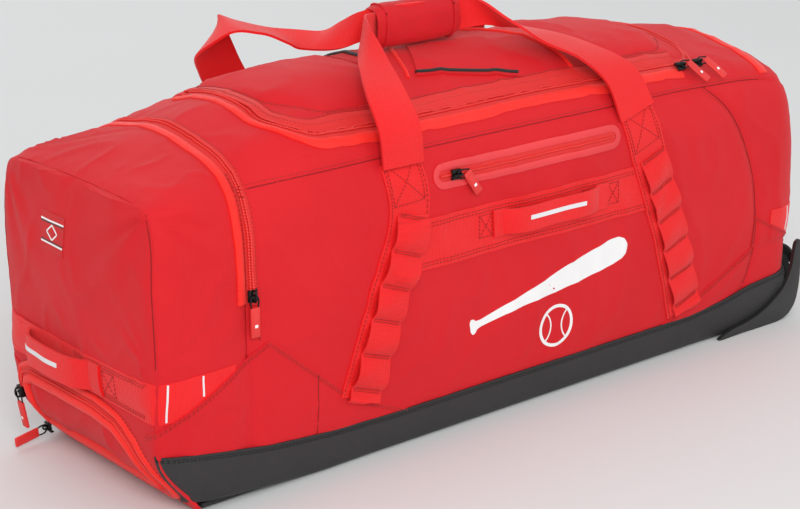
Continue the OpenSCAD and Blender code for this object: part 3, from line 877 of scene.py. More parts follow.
def spread(chart, path, offsets):
    """Points beside a chart path on the outside: a row for each of its points, a column for each distance to its left."""
    P, N = chart(path[:, 0], path[:, 1])
    nudge = 0.2 * MM
    U = chart(path[:, 0] + nudge, path[:, 1])[0] - P
    V = chart(path[:, 0], path[:, 1] + nudge)[0] - P
    hand = np.sign(np.median((np.cross(U, V) * N).sum(-1)))
    S = np.cross(N, np.gradient(P, axis=0)) * hand
    S /= np.maximum(np.linalg.norm(S, axis=1, keepdims=True), 1e-12)
    grid = P[:, None] + S[:, None] * np.asarray(offsets)[None, :, None]
    facing = np.broadcast_to(N[:, None], grid.shape)
    return skin.lay(grid, facing), facing


def offset_path(path, by):
    """Chart path moved sideways by some distance, to its left."""
    d = np.gradient(path, axis=0)
    n = np.stack([-d[:, 1], d[:, 0]], 1)
    return path + n / np.maximum(np.linalg.norm(n, axis=1)[:, None], 1e-12) * by


def strip(name, chart, path, width, material, thick=1.4 * MM, step=4 * MM, across=5, crown=0.3 * MM,
          shift=0.0, sink=0.6 * MM):
    """Tape laid along a chart path on the outside, with soft edges. shift moves it sideways."""
    path = np.asarray(path, float)
    length = np.linalg.norm(np.diff(chart(path[:, 0], path[:, 1])[0], axis=0), axis=1).sum()
    count = max(3, int(length / step))
    path = resample(path, count)
    s = np.linspace(-0.5, 0.5, across)
    P, N = spread(chart, path, shift + s * width)
    out = thick + crown * (1 - (2 * s) ** 2)[None, :] + 0 * P[..., 0]
    uv = np.stack(np.broadcast_arrays(np.linspace(0, length, count)[:, None], (s * width)[None, :]), -1)
    return slab(name, P, N, thick + sink + crown, material, uv, out=out, sharp=50)


def patch(name, chart, a, b, counts, material, thick=1.0 * MM, uv=None, sink=0.8 * MM):
    """A flat piece between two chart curves, laid on the outside."""
    grid = between(resample(a, counts[0]), resample(b, counts[0]), counts[1])
    P, N = chart(grid[..., 0], grid[..., 1])
    return slab(name, skin.lay(P, N), N, thick + sink, material, grid if uv is None else uv, out=thick,
                sharp=50)


# ---------- tapes, zips and stitching ----------

HOOP_RUN = np.array([np.linalg.norm(np.diff(OVER[i], axis=0), axis=1).sum() for i in range(len(GRID_X))])


def hoop(px, b):
    """Point over the bag at px, b metres along the section from the crown: negative b is the front side."""
    return over(px, b / np.interp(px, GRID_X, HOOP_RUN))


def hoop_at(px, z):
    """The b of hoop() on the front side at height z."""
    return over_at(px, z) * float(np.interp(px, GRID_X, HOOP_RUN))


def laid_line(chart, path, step, shift=0.0, lift=0.0):
    """Points along a chart path on the outside, with their facing directions."""
    path = np.asarray(path, float)
    length = np.linalg.norm(np.diff(chart(path[:, 0], path[:, 1])[0], axis=0), axis=1).sum()
    path = resample(path, max(4, int(length / step)))
    P, N = spread(chart, path, [shift])
    return P[:, 0] + N[:, 0] * lift, N[:, 0]


def tube(name, P, radii, material, sides=8):
    """A round tube through P with a radius at each point."""
    T = np.gradient(P, axis=0)
    T /= np.maximum(np.linalg.norm(T, axis=1, keepdims=True), 1e-12)
    ref = np.where(np.abs(T[:, 2:3]) < 0.9, (0.0, 0.0, 1.0), (0.0, 1.0, 0.0))
    A = np.cross(T, ref)
    A /= np.linalg.norm(A, axis=1, keepdims=True)
    B = np.cross(T, A)
    angle = np.arange(sides) * 2 * math.pi / sides
    ringed = (A[:, None] * np.cos(angle)[None, :, None] + B[:, None] * np.sin(angle)[None, :, None])
    V = P[:, None] + ringed * np.asarray(radii)[:, None, None]
    n = len(P)
    i, j = np.meshgrid(np.arange(n - 1), np.arange(sides), indexing="ij")
    j2 = (j + 1) % sides
    quads = np.stack([i * sides + j, i * sides + j2, (i + 1) * sides + j2, (i + 1) * sides + j],
                     -1).reshape(-1, 4)
    faces = [tuple(q) for q in quads] + [tuple(range(sides))[::-1], tuple(range((n - 1) * sides, n * sides))]
    run = np.concatenate([[0], np.cumsum(np.linalg.norm(np.diff(P, axis=0), axis=1))])
    uv = np.stack(np.broadcast_arrays(run[:, None], (angle * 1 * MM)[None, :]), -1).reshape(-1, 2)
    return add_mesh(name, V.reshape(-1, 3), faces, material, uv, sharp=60)


TOOTH = 2.6 * MM


def teeth(name, chart, path, shift, lift=2.1 * MM):
    """One side of a zip's coil: a bead for every tooth."""
    P, _ = laid_line(chart, path, TOOTH / 4, shift, lift)
    beat = (np.arange(len(P)) + (1 if shift < 0 else 0)) * (2 * math.pi / 4)
    return tube(name, P, 1.15 * MM + 0.4 * MM * np.sin(beat), M_COIL, sides=6)


class Thread:
    """Stitches gathered into one piece: each a short raised bar of thread."""

    def __init__(self):
        self.verts, self.faces, self.uv = [], [], []

    def row(self, chart, path, shift=0.0, pitch=4.2 * MM, size=0.5 * MM, lift=0.3 * MM):
        """A row of stitches along a path on a chart."""
        P, N = laid_line(chart, path, pitch / 2, shift, lift)
        for k in range(0, len(P) - 1, 2):
            self.bar(P[k], P[k + 1] + (P[k + 1] - P[k]) * 0.35, N[k], size)

    def bar(self, a, b, n, size):
        """One stitch from a to b."""
        d = b - a
        length = np.linalg.norm(d)
        if length < 1e-6 or length > 0.02:
            return
        side = np.cross(d / length, n) * size
        up = n * size
        base = len(self.verts)
        for end, inset in ((a, 1), (b, -1)):
            tip = end + d * 0.12 * inset
            self.verts += [end - side - up, end + side - up, tip + side * 0.5 + up, tip - side * 0.5 + up]
        quads = [(0, 1, 2, 3), (7, 6, 5, 4), (0, 4, 5, 1), (1, 5, 6, 2), (2, 6, 7, 3), (3, 7, 4, 0)]
        self.faces += [tuple(base + i for i in q) for q in quads]
        self.uv += [(0, 0), (0, 1 * MM), (0, 2 * MM), (0, 3 * MM), (length, 0), (length, 1 * MM),
                    (length, 2 * MM), (length, 3 * MM)]

    def piece(self, name, material):
        """One object of all the stitches laid so far."""
        return add_mesh(name, self.verts, self.faces, material, self.uv)


def cross_box(thread, chart, corners):
    """A sewn box with a cross through it, from its four corners in chart coordinates."""
    a, b, c, d = [np.array(p) for p in corners]
    for p, q in ((a, b), (b, c), (c, d), (d, a), (a, c), (b, d)):
        thread.row(chart, [p, q], pitch=3.4 * MM)


bag_thread, lid_thread, flap_thread, base_thread, door_thread = Thread(), Thread(), Thread(), Thread(), Thread()

# ---------- base ----------

FLOOR_GAP = 0.3 * MM
BOOT_END = HALF_L - 21 * MM
BOOT_START = -0.4285
BOOT_RIM = np.array([(-440, 70), (-380, 58), (-315, 48), (-240, 41.5), (-170, 39), (250, 39), (300, 45),
                     (345, 54), (440, 62)]) * MM
BOOT_LIFT = np.array([(-440, 12), (-400, 9), (-309, 3), (-250, 0), (440, 0)]) * MM
BOOT_OUT = np.array([(-440, 4.2), (-290, 3.8), (-190, 1.7), (270, 1.7), (320, 3.4), (440, 3.4)]) * MM
ROLL = 9 * MM


def boot_rim(a):
    """Height of the base band's top edge at run a."""
    return np.interp(a, BOOT_RIM[:, 0], BOOT_RIM[:, 1])


def boot_lift(a):
    return np.interp(a, BOOT_LIFT[:, 0], BOOT_LIFT[:, 1])


def boot_grid(a, under):
    """Outside of the base band at distances a: upright from its rim, then rolled under by some distance."""
    s = np.linspace(0, 1, 9)[None, :]
    turned = np.linspace(0, math.pi / 2, 7)[None, 1:]
    rim, lift = boot_rim(a)[:, None], boot_lift(a)[:, None]
    up = rim + (ROLL + lift - rim) * s
    rolled = lift + ROLL - (ROLL - FLOOR_GAP) * np.sin(turned)
    Z = np.concatenate([up, rolled, lift + FLOOR_GAP], 1)
    inset = np.concatenate([0 * s[0], ROLL * (1 - np.cos(turned[0])), [under]])
    A = np.broadcast_to(a[:, None], Z.shape)
    P, N = wall(A, np.maximum(Z, ROLL + lift))
    out = np.interp(a, BOOT_OUT[:, 0], BOOT_OUT[:, 1])[:, None, None]
    P = P + N * (out - inset[None, :, None])
    P[..., 2] = Z
    run = np.cumsum(np.abs(np.gradient(Z.mean(0))) + np.abs(np.gradient(inset)))
    return P, N, np.stack([A, np.broadcast_to(run, A.shape)], -1)


def base_pieces():
    """The black coated base."""
    P, N, uv = boot_grid(np.linspace(BOOT_START, BOOT_END, 150), 14 * MM)
    side = keep(slab("base_side", P, N, 1.5 * MM, M_BOOT, uv), "bag", "coated_base", "base_boot")
    keep(mirrored(side, "base_side_back"), "bag", "coated_base")
    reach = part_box("housing_front")[1].y
    P, N, uv = boot_grid(np.linspace(WHEEL_MID + reach + 1 * MM, WHEEL_MID - reach - 1 * MM, 30), 12 * MM)
    keep(slab("base_end", P, N, 1.5 * MM, M_BOOT, uv), "bag", "coated_base")
    x, y = np.linspace(-0.392, HALF_L - 12 * MM, 60), np.linspace(-0.112, 0.112, 24)
    X, Y = np.meshgrid(x, y, indexing="ij")
    Y = np.where(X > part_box("housing_front")[0].x + 30 * MM, Y * 0.7, Y)
    P = vec(X, Y, FLOOR_GAP + boot_lift(X))
    keep(slab("base_underside", P, vec(0 * X, 0 * X, -1 + 0 * X), 2.4 * MM, M_BOOT, np.stack([X, Y], -1)),
         "bag", "coated_base")
    rim = np.stack([np.linspace(BOOT_START, BOOT_END, 40), boot_rim(np.linspace(BOOT_START, BOOT_END, 40))],
                   1)
    return side, rim


# ---------- near end, below the flap ----------

DOOR_LOOP = np.array([
    (108, 26), (108, 68), (104, 80), (88, 87), (40, 88), (-25, 88), (-62, 83), (-84, 69), (-97, 50), (-106,
            34),
    (-106, 24), (-97, 19), (0, 18), (95, 18), (105, 20), (108, 26)]) * MM
DOOR_STEPS = 300  # points round each tape and seam of the shoe door


def end_loop(grow, count):
    """The shoe door's outline grown by some distance."""
    loop = resample(DOOR_LOOP, count)
    loop[-1] = loop[0]
    d = np.roll(loop[:-1], -1, 0) - np.roll(loop[:-1], 1, 0)
    n = np.stack([-d[:, 1], d[:, 0]], 1)
    n /= np.linalg.norm(n, axis=1)[:, None]
    grown = loop[:-1] + n * grow
    return np.concatenate([grown, grown[:1]])


def near_low():
    """The near end's fabric round the shoe door."""
    count = 140
    inner = end_loop(-4 * MM, count)[:-1]
    centre = np.array([0.0, 0.053])
    outer = []
    for p in inner:
        d = p - centre
        t = min((0.122 / abs(d[0])) if d[0] else 9, ((0.1 - centre[1]) / d[1]) if d[1] > 0 else 9,
                ((centre[1] - 1.5 * MM) / -d[1]) if d[1] < 0 else 9)
        outer.append(centre + d * t)
    grid = between(np.array(outer), inner, 8)
    return fabric("near_low_fabric", end_face, grid, seed=21.0, wrap=True, puff=1 * MM, dip=0.5 * MM,
                  crumple=0.6)


def door_sheet():
    """The shoe door's fabric."""
    z = np.linspace(DOOR_LOOP[:, 1].min() + 0.6 * MM, DOOR_LOOP[:, 1].max() - 0.6 * MM, 26)
    grid = filled(resample(DOOR_LOOP, 600), 1, z, 60, reach=1.2 * MM, inset=0.8 * MM)
    return fabric("shoe_door_fabric", end_face, grid, seed=23.0, puff=7 * MM, dip=0, crumple=1.6,
                  thick=3 * MM)


def near_end_pieces():
    """The near end below the flap: its fabric, the shoe door and the door's zip."""
    keep(near_low(), "bag", "body_fabric", "near_end_panel")
    skin.add(pieces["near_low_fabric"][0])
    door = keep(door_sheet(), "shoe_door", "body_fabric", "shoe_door")
    keep(strip("shoe_zip_binding", end_face, end_loop(8.5 * MM, DOOR_STEPS), 10 * MM, M_BINDING,
               thick=4.2 * MM, crown=2.6 * MM, across=9), "bag",
         "zip_binding", "shoe_zip")
    keep(strip("shoe_zip_tape", end_face, end_loop(1.2 * MM, DOOR_STEPS), 6.4 * MM, M_TAPE, thick=3.6 * MM),
         "bag", "zip_coil")
    keep(teeth("shoe_zip_teeth", end_face, end_loop(1.0 * MM, DOOR_STEPS), 0, lift=4.4 * MM), "bag",
         "zip_coil")
    skin.add(door)
    keep(strip("shoe_door_piping", end_face, end_loop(-5.5 * MM, DOOR_STEPS), 7 * MM, M_BINDING,
               thick=2.2 * MM, crown=2.2 * MM, across=7), "shoe_door",
         "zip_binding")
    door_thread.row(end_face, end_loop(-9.5 * MM, DOOR_STEPS))


# ---------- wheel end, below the band ----------


def wheel_low_pieces():
    """The wheel end's fabric below its band."""
    band_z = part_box("wheel_end_band")[0].z - 3 * MM
    rows = 14
    seam = rounded(WHEEL_SEAM, 300)
    z = np.linspace(WALL_FOOT, band_z, rows)
    left = np.stack([np.interp(z, seam[:, 1], seam[:, 0]), z], 1)
    right = np.stack([0.415 + 0.02 * np.clip((z - 89 * MM) / (3 * MM), 0, 1), z], 1)
    low = keep(fabric("wheel_low_fabric", wall, between(left, right, 18), seed=25.0, puff=0.5 * MM,
                      crumple=0.3), "bag", "body_fabric")
    keep(mirrored(low, "wheel_low_fabric_back"), "bag", "body_fabric")
    reach = -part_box("housing_front")[1].y
    mid = between(np.stack([np.full(rows, WHEEL_MID - reach), z], 1),
                  np.stack([np.full(rows, WHEEL_MID + reach), z], 1), 26)
    keep(fabric("wheel_low_fabric_mid", wall, mid, seed=27.0, puff=1 * MM, crumple=0.5), "bag", "body_fabric")
    skin.add(low, pieces["wheel_low_fabric_mid"][0])


# ---------- patches, bands and straps ----------

NEAR_PATCH = np.array([(-438, 84), (-432, 88), (-316, 150), (-221, 70), (-150, 38.5)]) * MM
WHEEL_PATCH = np.array([(205, 38.5), (345, 98), (349, 134), (414, 97)]) * MM


def patch_under(name, edge):
    """A reinforcing patch from the foot of the wall up to a slanted, top-stitched edge."""
    x = np.linspace(edge[0, 0], edge[-1, 0], 90)
    x = np.unique(np.concatenate([x, edge[:, 0]]))
    t = np.linspace(0, 1, 16)[None, :]
    low = np.minimum(boot_rim(x) - 3 * MM, np.interp(x, edge[:, 0], edge[:, 1]) - 2 * MM)[:, None]
    Z = low * (1 - t) + np.interp(x, edge[:, 0], edge[:, 1])[:, None] * t
    grid = np.stack([np.broadcast_to(x[:, None], Z.shape), Z], -1)
    P, N = wall(grid[..., 0], grid[..., 1])
    piece = slab(name, skin.lay(P, N), N, 1.5 * MM, M_FABRIC, grid, out=1.0 * MM, sharp=50)
    return piece


def strap_path(points):
    """A strap's centre line from a few points in millimetres."""
    return rounded(np.array(points) * MM, 40)


NEAR_STRAP = [(-158, 288), (-152, 244), (-182, 154), (-213, 66)]
WHEEL_STRAP = [(153, 288), (168, 243), (203, 148), (236, 52)]
STRAP_W = 48 * MM
LOOP_W = 38 * MM
LOOPS = 5


def daisy(name, path, shift):
    """Webbing sewn down at intervals, so that it stands off the strap in loops that sag a little."""
    length = np.linalg.norm(np.diff(path, axis=0), axis=1).sum()
    count = 170
    line = resample(path, count)
    s = np.linspace(-0.5, 0.5, 7)
    grid = np.stack([offset_path(line, shift + k * LOOP_W) for k in s], 1)
    P, N = wall(grid[..., 0], grid[..., 1])
    P = skin.lay(P, N)
    beat = np.linspace(0, LOOPS + 0.35, count) % 1.0
    sag = np.where(beat < 0.1, 0, np.sin(np.clip((beat - 0.1) / 0.9, 0,
            1) ** 1.25 * math.pi) ** 0.7) * 4.4 * MM
    wave = 1 + 0.18 * np.sin(s * 5 + np.linspace(0, 19, count)[:, None])
    out = 1.5 * MM + sag[:, None] * wave
    slump = -(sag * 0.5)
    P[..., 2] += slump[:, None] * 0.5
    uv = np.stack(np.broadcast_arrays(np.linspace(0, length * 1.3, count)[:, None], (s * LOOP_W)[None, :]),
                  -1)
    piece = slab(name, P, N, 1.3 * MM, M_WEBBING, uv, out=out, sharp=70)
    for k in range(LOOPS + 1):
        at = line[min(count - 1, int((k + 0.05) / (LOOPS + 0.35) * count))]
        d = (line[-1] - line[0]) / np.linalg.norm(line[-1] - line[0])
        n = np.array([-d[1], d[0]])
        a, b = at + n * (shift - LOOP_W * 0.42), at + n * (shift + LOOP_W * 0.42)
        for row in (-1.2, 1.2):
            bag_thread.row(wall, [a + d * row * MM, b + d * row * MM], pitch=2.6 * MM, lift=2.0 * MM)
    return piece


def patches():
    """The lower corner patches."""
    near = keep(patch_under("near_patch", NEAR_PATCH), "bag", "body_fabric", "corner_patches")
    keep(mirrored(near, "near_patch_back"), "bag", "body_fabric")
    far = keep(patch_under("wheel_patch", WHEEL_PATCH), "bag", "body_fabric")
    keep(mirrored(far, "wheel_patch_back"), "bag", "body_fabric")
    skin.add(near, far)
    for path in (NEAR_PATCH, WHEEL_PATCH):
        for k in (2.2, 4.6):
            bag_thread.row(wall, path - (0, k * MM))


def bands():
    """The webbing bands."""
    lo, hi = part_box("front_band")
    mid = (lo.z + hi.z) / 2
    band = keep(strip("front_band", wall, [(lo.x, mid), (hi.x, mid)], hi.z - lo.z, M_WEBBING, thick=1.5 * MM,
                      across=9), "bag", "webbing",
                "front_band")
    lo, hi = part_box("near_end_band")
    mid, tall = (lo.z + hi.z) / 2, hi.z - lo.z
    mid_a = PLAN_RUN[0]
    near_band = keep(strip("near_band", wall, [(mid_a, mid), (-0.352, mid)], tall, M_WEBBING, thick=0.8 * MM,
                           across=9), "bag", "webbing",
                     "near_end_band")
    keep(mirrored(near_band, "near_band_back"), "bag", "webbing")
    wheel_band = keep(strip("wheel_band", wall, [(0.372, mid), (WHEEL_MID, mid)], tall, M_WEBBING,
                            thick=0.9 * MM, across=9), "bag",
                      "webbing", "wheel_end_band")
    keep(mirrored(wheel_band, "wheel_band_back"), "bag", "webbing")
    skin.add(band, near_band, wheel_band)


def straps_and_bars():
    """The strap anchors, gear loops and reflective bars."""
    lo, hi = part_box("near_end_band")
    mid, tall, mid_a = (lo.z + hi.z) / 2, hi.z - lo.z, PLAN_RUN[0]
    for x, foot in ((-0.418, mid - tall / 2 + 2 * MM), (-0.3865, 0.116)):
        keep(strip(f"near_bar_{int(-x * 1000)}", wall, [(x, foot), (x, mid + tall / 2 - 1 * MM)], 1.8 * MM,
                   M_REFLECT,
                   thick=0.5 * MM, across=3, crown=0.1 * MM), "bag", "white_print")
    keep(strip("wheel_bar", wall, [(0.399, mid - tall / 2 + 9 * MM), (0.399, mid + tall / 2 - 1 * MM)],
               1.8 * MM, M_REFLECT,
               thick=0.5 * MM, across=3, crown=0.1 * MM), "bag", "white_print")
    for z in (-20.5, -17.5, 17.5, 20.5):
        bag_thread.row(wall, [(-0.168, 0.2015 + z * MM), (0.186, 0.2015 + z * MM)])
    for z in (-16, -13.5, 13.5, 16):
        bag_thread.row(wall, [(mid_a, mid + z * MM), (-0.436, mid + z * MM)])
    straps = []
    for name, points in (("near", NEAR_STRAP), ("wheel", WHEEL_STRAP)):
        path = strap_path(points)
        strap = keep(strip(f"strap_{name}", wall, path, STRAP_W, M_WEBBING, thick=1.6 * MM, across=7), "bag",
                     "webbing",
                     *(("strap_anchors",) if name == "near" else ()))
        keep(mirrored(strap, f"strap_{name}_back"), "bag", "webbing")
        straps.append(strap)
    skin.add(*straps)
    for name, points in (("near", NEAR_STRAP), ("wheel", WHEEL_STRAP)):
        path = strap_path(points)
        chain = path[path[:, 1] < 0.238]
        keep(daisy(f"daisy_{name}", chain, 3.5 * MM), "bag", "webbing",
             *(("daisy_chains",) if name == "near" else ()))
        upper = path[path[:, 1] > 0.241]
        for side in (-0.44, 0.44):
            bag_thread.row(wall, path, shift=side * STRAP_W)
        a, b = offset_path(upper, -0.38 * STRAP_W), offset_path(upper, 0.38 * STRAP_W)
        cross_box(bag_thread, wall, [a[0], b[0], b[-1], a[-1]])


# ---------- white print: a bat over a ball ----------


def emblem():
    """The printed bat and ball."""
    lean, centre = math.radians(11), np.array([0.034, 0.124])
    t = np.linspace(-1, 1, 120)
    shape = np.array([(-110, 5), (-109, 8), (-105, 8), (-102, 4.4), (-96, 3.6), (-40, 6), (30, 12), (88, 14),
                      (100, 12.5), (107, 8), (110, 1)])
    half = np.interp(t * 110, shape[:, 0], shape[:, 1])
    turn = np.array([(math.cos(lean), math.sin(lean)), (-math.sin(lean), math.cos(lean))]) * MM
    up = np.stack([t * 110, half], 1) @ turn + centre
    down = np.stack([t * 110, -half], 1) @ turn + centre
    grid = between(down, up, 7)
    P, N = wall(grid[..., 0], grid[..., 1])
    bat = slab("print_bat", skin.lay(P, N), N, 0.5 * MM, M_PRINT, grid, out=0.35 * MM)
    a = np.linspace(0, 2 * math.pi, 90)
    ball = np.array([0.044, 0.078])
    ring_path = ball + np.stack([np.cos(a), np.sin(a)], 1) * 21.2 * MM
    parts = [bat, strip("print_ball", wall, ring_path, 3.4 * MM, M_PRINT, thick=0.35 * MM, step=2 * MM,
                        across=3, crown=0, sink=0.2 * MM)]
    for side in (-1, 1):
        b = np.linspace(-0.85, 0.85, 16)
        seam = ball + np.stack([side * (27 - 20 * np.cos(b)), 20 * np.sin(b)], 1) * MM
        parts.append(strip(f"print_seam{side + 1}", wall, seam, 1.6 * MM, M_PRINT, thick=0.35 * MM,
                           step=2 * MM, across=3, crown=0, sink=0.2 * MM))
    keep(joined("print_emblem", parts), "bag", "white_print", "emblem")


# ---------- zips ----------


def stadium(cx, cz, w, h, count=120):
    """Outline of a slot with round ends."""
    r = h / 2
    left, right = cx - w / 2 + r, cx + w / 2 - r
    a = np.radians(np.linspace(90, 270, 24))
    b = np.radians(np.linspace(-90, 90, 24))
    loop = np.concatenate([np.stack([left + r * np.cos(a), cz + r * np.sin(a)], 1),
                           np.stack([right + r * np.cos(b), cz + r * np.sin(b)], 1)])
    return resample(np.concatenate([loop, loop[:1]]), count)


def pocket():
    """The front pocket's frame and zip."""
    lo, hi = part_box("pocket_frame")
    cx, cz, w, h = (lo.x + hi.x) / 2, (lo.z + hi.z) / 2, hi.x - lo.x, hi.z - lo.z
    keep(strip("pocket_tape", wall, [(cx - w / 2 + 8 * MM, cz), (cx + w / 2 - 8 * MM, cz)], h - 12 * MM,
               M_TAPE, thick=0.4 * MM), "bag",
         "zip_coil", "pocket_zip")
    keep(strip("pocket_frame", wall, stadium(cx, cz, w - 7 * MM, h - 7 * MM), 7 * MM, M_FILM, thick=1.1 * MM,
               crown=0.5 * MM, across=7), "bag",
         "welded_film", "pocket_frame")
    keep(teeth("pocket_teeth", wall, [(cx - w / 2 + 9 * MM, cz), (cx + w / 2 - 9 * MM, cz)], 0,
               lift=1.1 * MM), "bag", "zip_coil")


def lid_zip():
    """The zip round the lid: one side on the bag, one on the lid."""
    front_side, wheel_side, _, near_side = lid_sides(0, 120)
    path = np.concatenate([near_side[22:-1], front_side, wheel_side[1:96]])
    bright = np.concatenate([near_side[22:-1], front_side[:-6]])
    keep(strip("lid_zip_tape", top, path, 5.4 * MM, M_TAPE, shift=-2.9 * MM, thick=1.0 * MM, across=3), "bag",
         "zip_coil")
    keep(strip("lid_zip_binding", top, bright, 7.5 * MM, M_BINDING, shift=-9.2 * MM, thick=1.5 * MM,
               crown=1.3 * MM, across=7), "bag",
         "zip_binding", "lid_zip_outer")
    keep(strip("lid_edge_tape", top, path, 5.4 * MM, M_TAPE, shift=2.9 * MM, thick=1.0 * MM, across=3), "lid",
         "zip_coil", "lid_zip_inner")
    keep(strip("lid_edge_binding", top, bright, 8 * MM, M_TAPE, shift=9.4 * MM, thick=0.9 * MM,
               crown=0.4 * MM, across=5), "lid",
         "zip_binding")
    keep(teeth("lid_zip_teeth", top, path, -1.3 * MM), "bag", "zip_coil")
    keep(teeth("lid_edge_teeth", top, path, 1.3 * MM), "lid", "zip_coil")
    bag_thread.row(top, bright, shift=-7.3 * MM, lift=1.6 * MM)
    bag_thread.row(top, bright, shift=-12.0 * MM, lift=1.6 * MM)
    lid_thread.row(top, bright, shift=7.3 * MM, lift=1.3 * MM)
    lid_thread.row(top, bright, shift=13.5 * MM, lift=1.3 * MM)


def end_zip():
    """The near-end zip, and the bindings over both ends."""
    coil_x = FLAP_X + 5.5 * MM
    low = hoop_at(coil_x, 0.188)
    path = [(coil_x, low * (1 - k / 40)) for k in range(81)]
    bind_x = FLAP_X - 5.6 * MM
    low_b = hoop_at(bind_x, 0.19)
    bind = [(bind_x, low_b * (1 - k / 40)) for k in range(81)]
    keep(strip("end_zip_tape", hoop, path, 10.5 * MM, M_TAPE, thick=1.2 * MM), "bag", "zip_coil",
         "end_zip_coil")
    for k in (-1, 1):
        keep(teeth(f"end_zip_teeth_{k + 1}", hoop, path, k * 1.2 * MM, lift=2.0 * MM), "bag", "zip_coil")
    keep(strip("flap_zip_binding", hoop, bind, 9.5 * MM, M_BINDING, thick=1.6 * MM, crown=1.3 * MM, across=7),
         "near_flap", "zip_binding",
         "flap_binding")
    for k in (-5, 5):
        bag_thread.row(hoop, path, shift=k * MM, lift=1.1 * MM)
    for k in (-3.6, 3.6):
        flap_thread.row(hoop, bind, shift=k * MM, lift=1.4 * MM)
    x = (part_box("wheel_end_binding")[0].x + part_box("wheel_end_binding")[1].x) / 2
    low_w = hoop_at(x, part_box("wheel_end_binding")[0].z + 6 * MM)
    far = [(x, low_w * (1 - k / 40)) for k in range(81)]
    keep(strip("wheel_end_binding", hoop, far, 15 * MM, M_BINDING, thick=1.3 * MM, crown=1.2 * MM, across=7),
         "bag", "zip_binding",
         "wheel_end_binding")


# ---------- lid details ----------


def pod(name, x0, x1, y0, y1, cuts, seed):
    """A padded pad on the lid. cuts are how far its four corners are cut back."""
    pts = [(x0 + cuts[0], y0), (x1 - cuts[1], y0), (x1, y0 + cuts[1]), (x1, y1 - cuts[2]), (x1 - cuts[2], y1),
           (x0 + cuts[3], y1),
           (x0, y1 - cuts[3]), (x0, y0 + cuts[0])]
    loop = np.array(pts + [pts[0]])
    loop = resample(loop, 240)
    for _ in range(14):
        loop[:-1] = (np.roll(loop[:-1], 1, 0) + loop[:-1] + np.roll(loop[:-1], -1, 0)) / 3
        loop[-1] = loop[0]
    x = np.linspace(loop[:, 0].min() + 0.5 * MM, loop[:, 0].max() - 0.5 * MM, 30)
    grid = filled(loop, 0, x, 34, reach=1.8 * MM)
    P, N = top(grid[..., 0], grid[..., 1])
    P = skin.lay(P, N)
    e = edge_distance(P)
    out = 6.5 * MM * (1 - np.exp(-e / (12 * MM))) + 0.4 * MM + ripple(P, 30,
            seed) * 0.8 * MM * (1 - np.exp(-e / (15 * MM)))
    piece = slab(name, P, N, 2.6 * MM, M_FABRIC, grid, out=out)
    lid_thread.row(top, loop, shift=-2.5 * MM, lift=0.5 * MM)
    return piece


def lid_details():
    """The lid's pads, pocket and piping."""
    lo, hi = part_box("lid_pods")
    near = keep(pod("lid_pad_near", lo.x, -0.124, lo.y, hi.y, (40 * MM, 18 * MM, 14 * MM, 14 * MM), 31),
                "lid", "body_fabric", "lid_pods")
    far = keep(pod("lid_pad_wheel", 0.12, hi.x, lo.y, hi.y, (16 * MM, 24 * MM, 14 * MM, 14 * MM), 33), "lid",
               "body_fabric")
    low = np.array([(-86, -61), (28, -86)]) * MM
    high = np.array([(-22, 42), (46, 33)]) * MM
    flap = keep(patch("lid_pocket", top, low, high, (40, 34), M_FABRIC, thick=2.4 * MM, sink=1.2 * MM), "lid",
                "body_fabric", "lid_pocket")
    skin.add(near, far, flap)
    keep(strip("lid_pocket_binding", top,
               rounded(np.array([(-84, -58.5), (-60, -64), (-20, -72.6), (26, -82.6)]) * MM,
                       40), 2.4 * MM, M_EDGE,
               thick=1.8 * MM, crown=0.8 * MM), "lid",
         "black_binding", "lid_pocket_binding")
    keep(strip("lid_slot_binding", top, [(-0.098, 0.068), (-0.102, 0.03), (-0.104, -0.005)], 5 * MM, M_EDGE,
               thick=1.6 * MM, crown=0.8 * MM),
         "lid", "black_binding")
    piping = rounded(np.array([(50, 42), (62, 36), (78, 8), (92, -40), (98, -74), (97, -86)]) * MM, 60)
    keep(strip("lid_piping", top, piping, 4 * MM, M_BINDING, thick=1.2 * MM, crown=1.4 * MM), "lid",
         "zip_binding")
    left = rounded(np.array([(-26, 44), (-62, 8), (-96, -60)]) * MM, 40)
    keep(strip("lid_pocket_piping", top, left, 3.4 * MM, M_BINDING, thick=1.0 * MM, crown=1.0 * MM), "lid",
         "zip_binding")
    lid_thread.row(top, piping, shift=4 * MM)
    lid_thread.row(top, [(-0.082, -0.0575), (0.027, -0.0815)], lift=0.3 * MM)


# ---------- handles ----------


def ribbon(name, route, sides, widths, thick, material, count=150, across=7):
    """Webbing along a route, turning smoothly from one side direction to the next."""
    route = np.array(route, float) * MM
    sides = np.array([np.array(s, float) / np.linalg.norm(s) for s in sides])
    widths = np.array(widths, float) * MM
    run = np.concatenate([[0], np.cumsum(np.linalg.norm(np.diff(route, axis=0), axis=1))])
    at = np.linspace(0, run[-1], count)
    C, S, W = smooth(run, route, at), smooth(run, sides, at), smooth(run, widths, at)
    S /= np.linalg.norm(S, axis=1, keepdims=True)
    t = np.linspace(-0.5, 0.5, across)
    P = C[:, None] + S[:, None] * (W[:, None] * t[None, :])[..., None]
    N = grid_normals(P)
    bow = 0.6 * MM * np.sin(np.linspace(0, 17, count))[:, None] * (1 - (2 * t) ** 2)[None, :]
    uv = np.stack(np.broadcast_arrays(at[:, None], (t * 50 * MM)[None, :]), -1)
    soft = thick / 2 - 0.5 * MM * (np.abs(2 * t) ** 4)[None, :] + bow
    return slab(name, P, N, thick, material, uv, out=soft, sharp=50), C


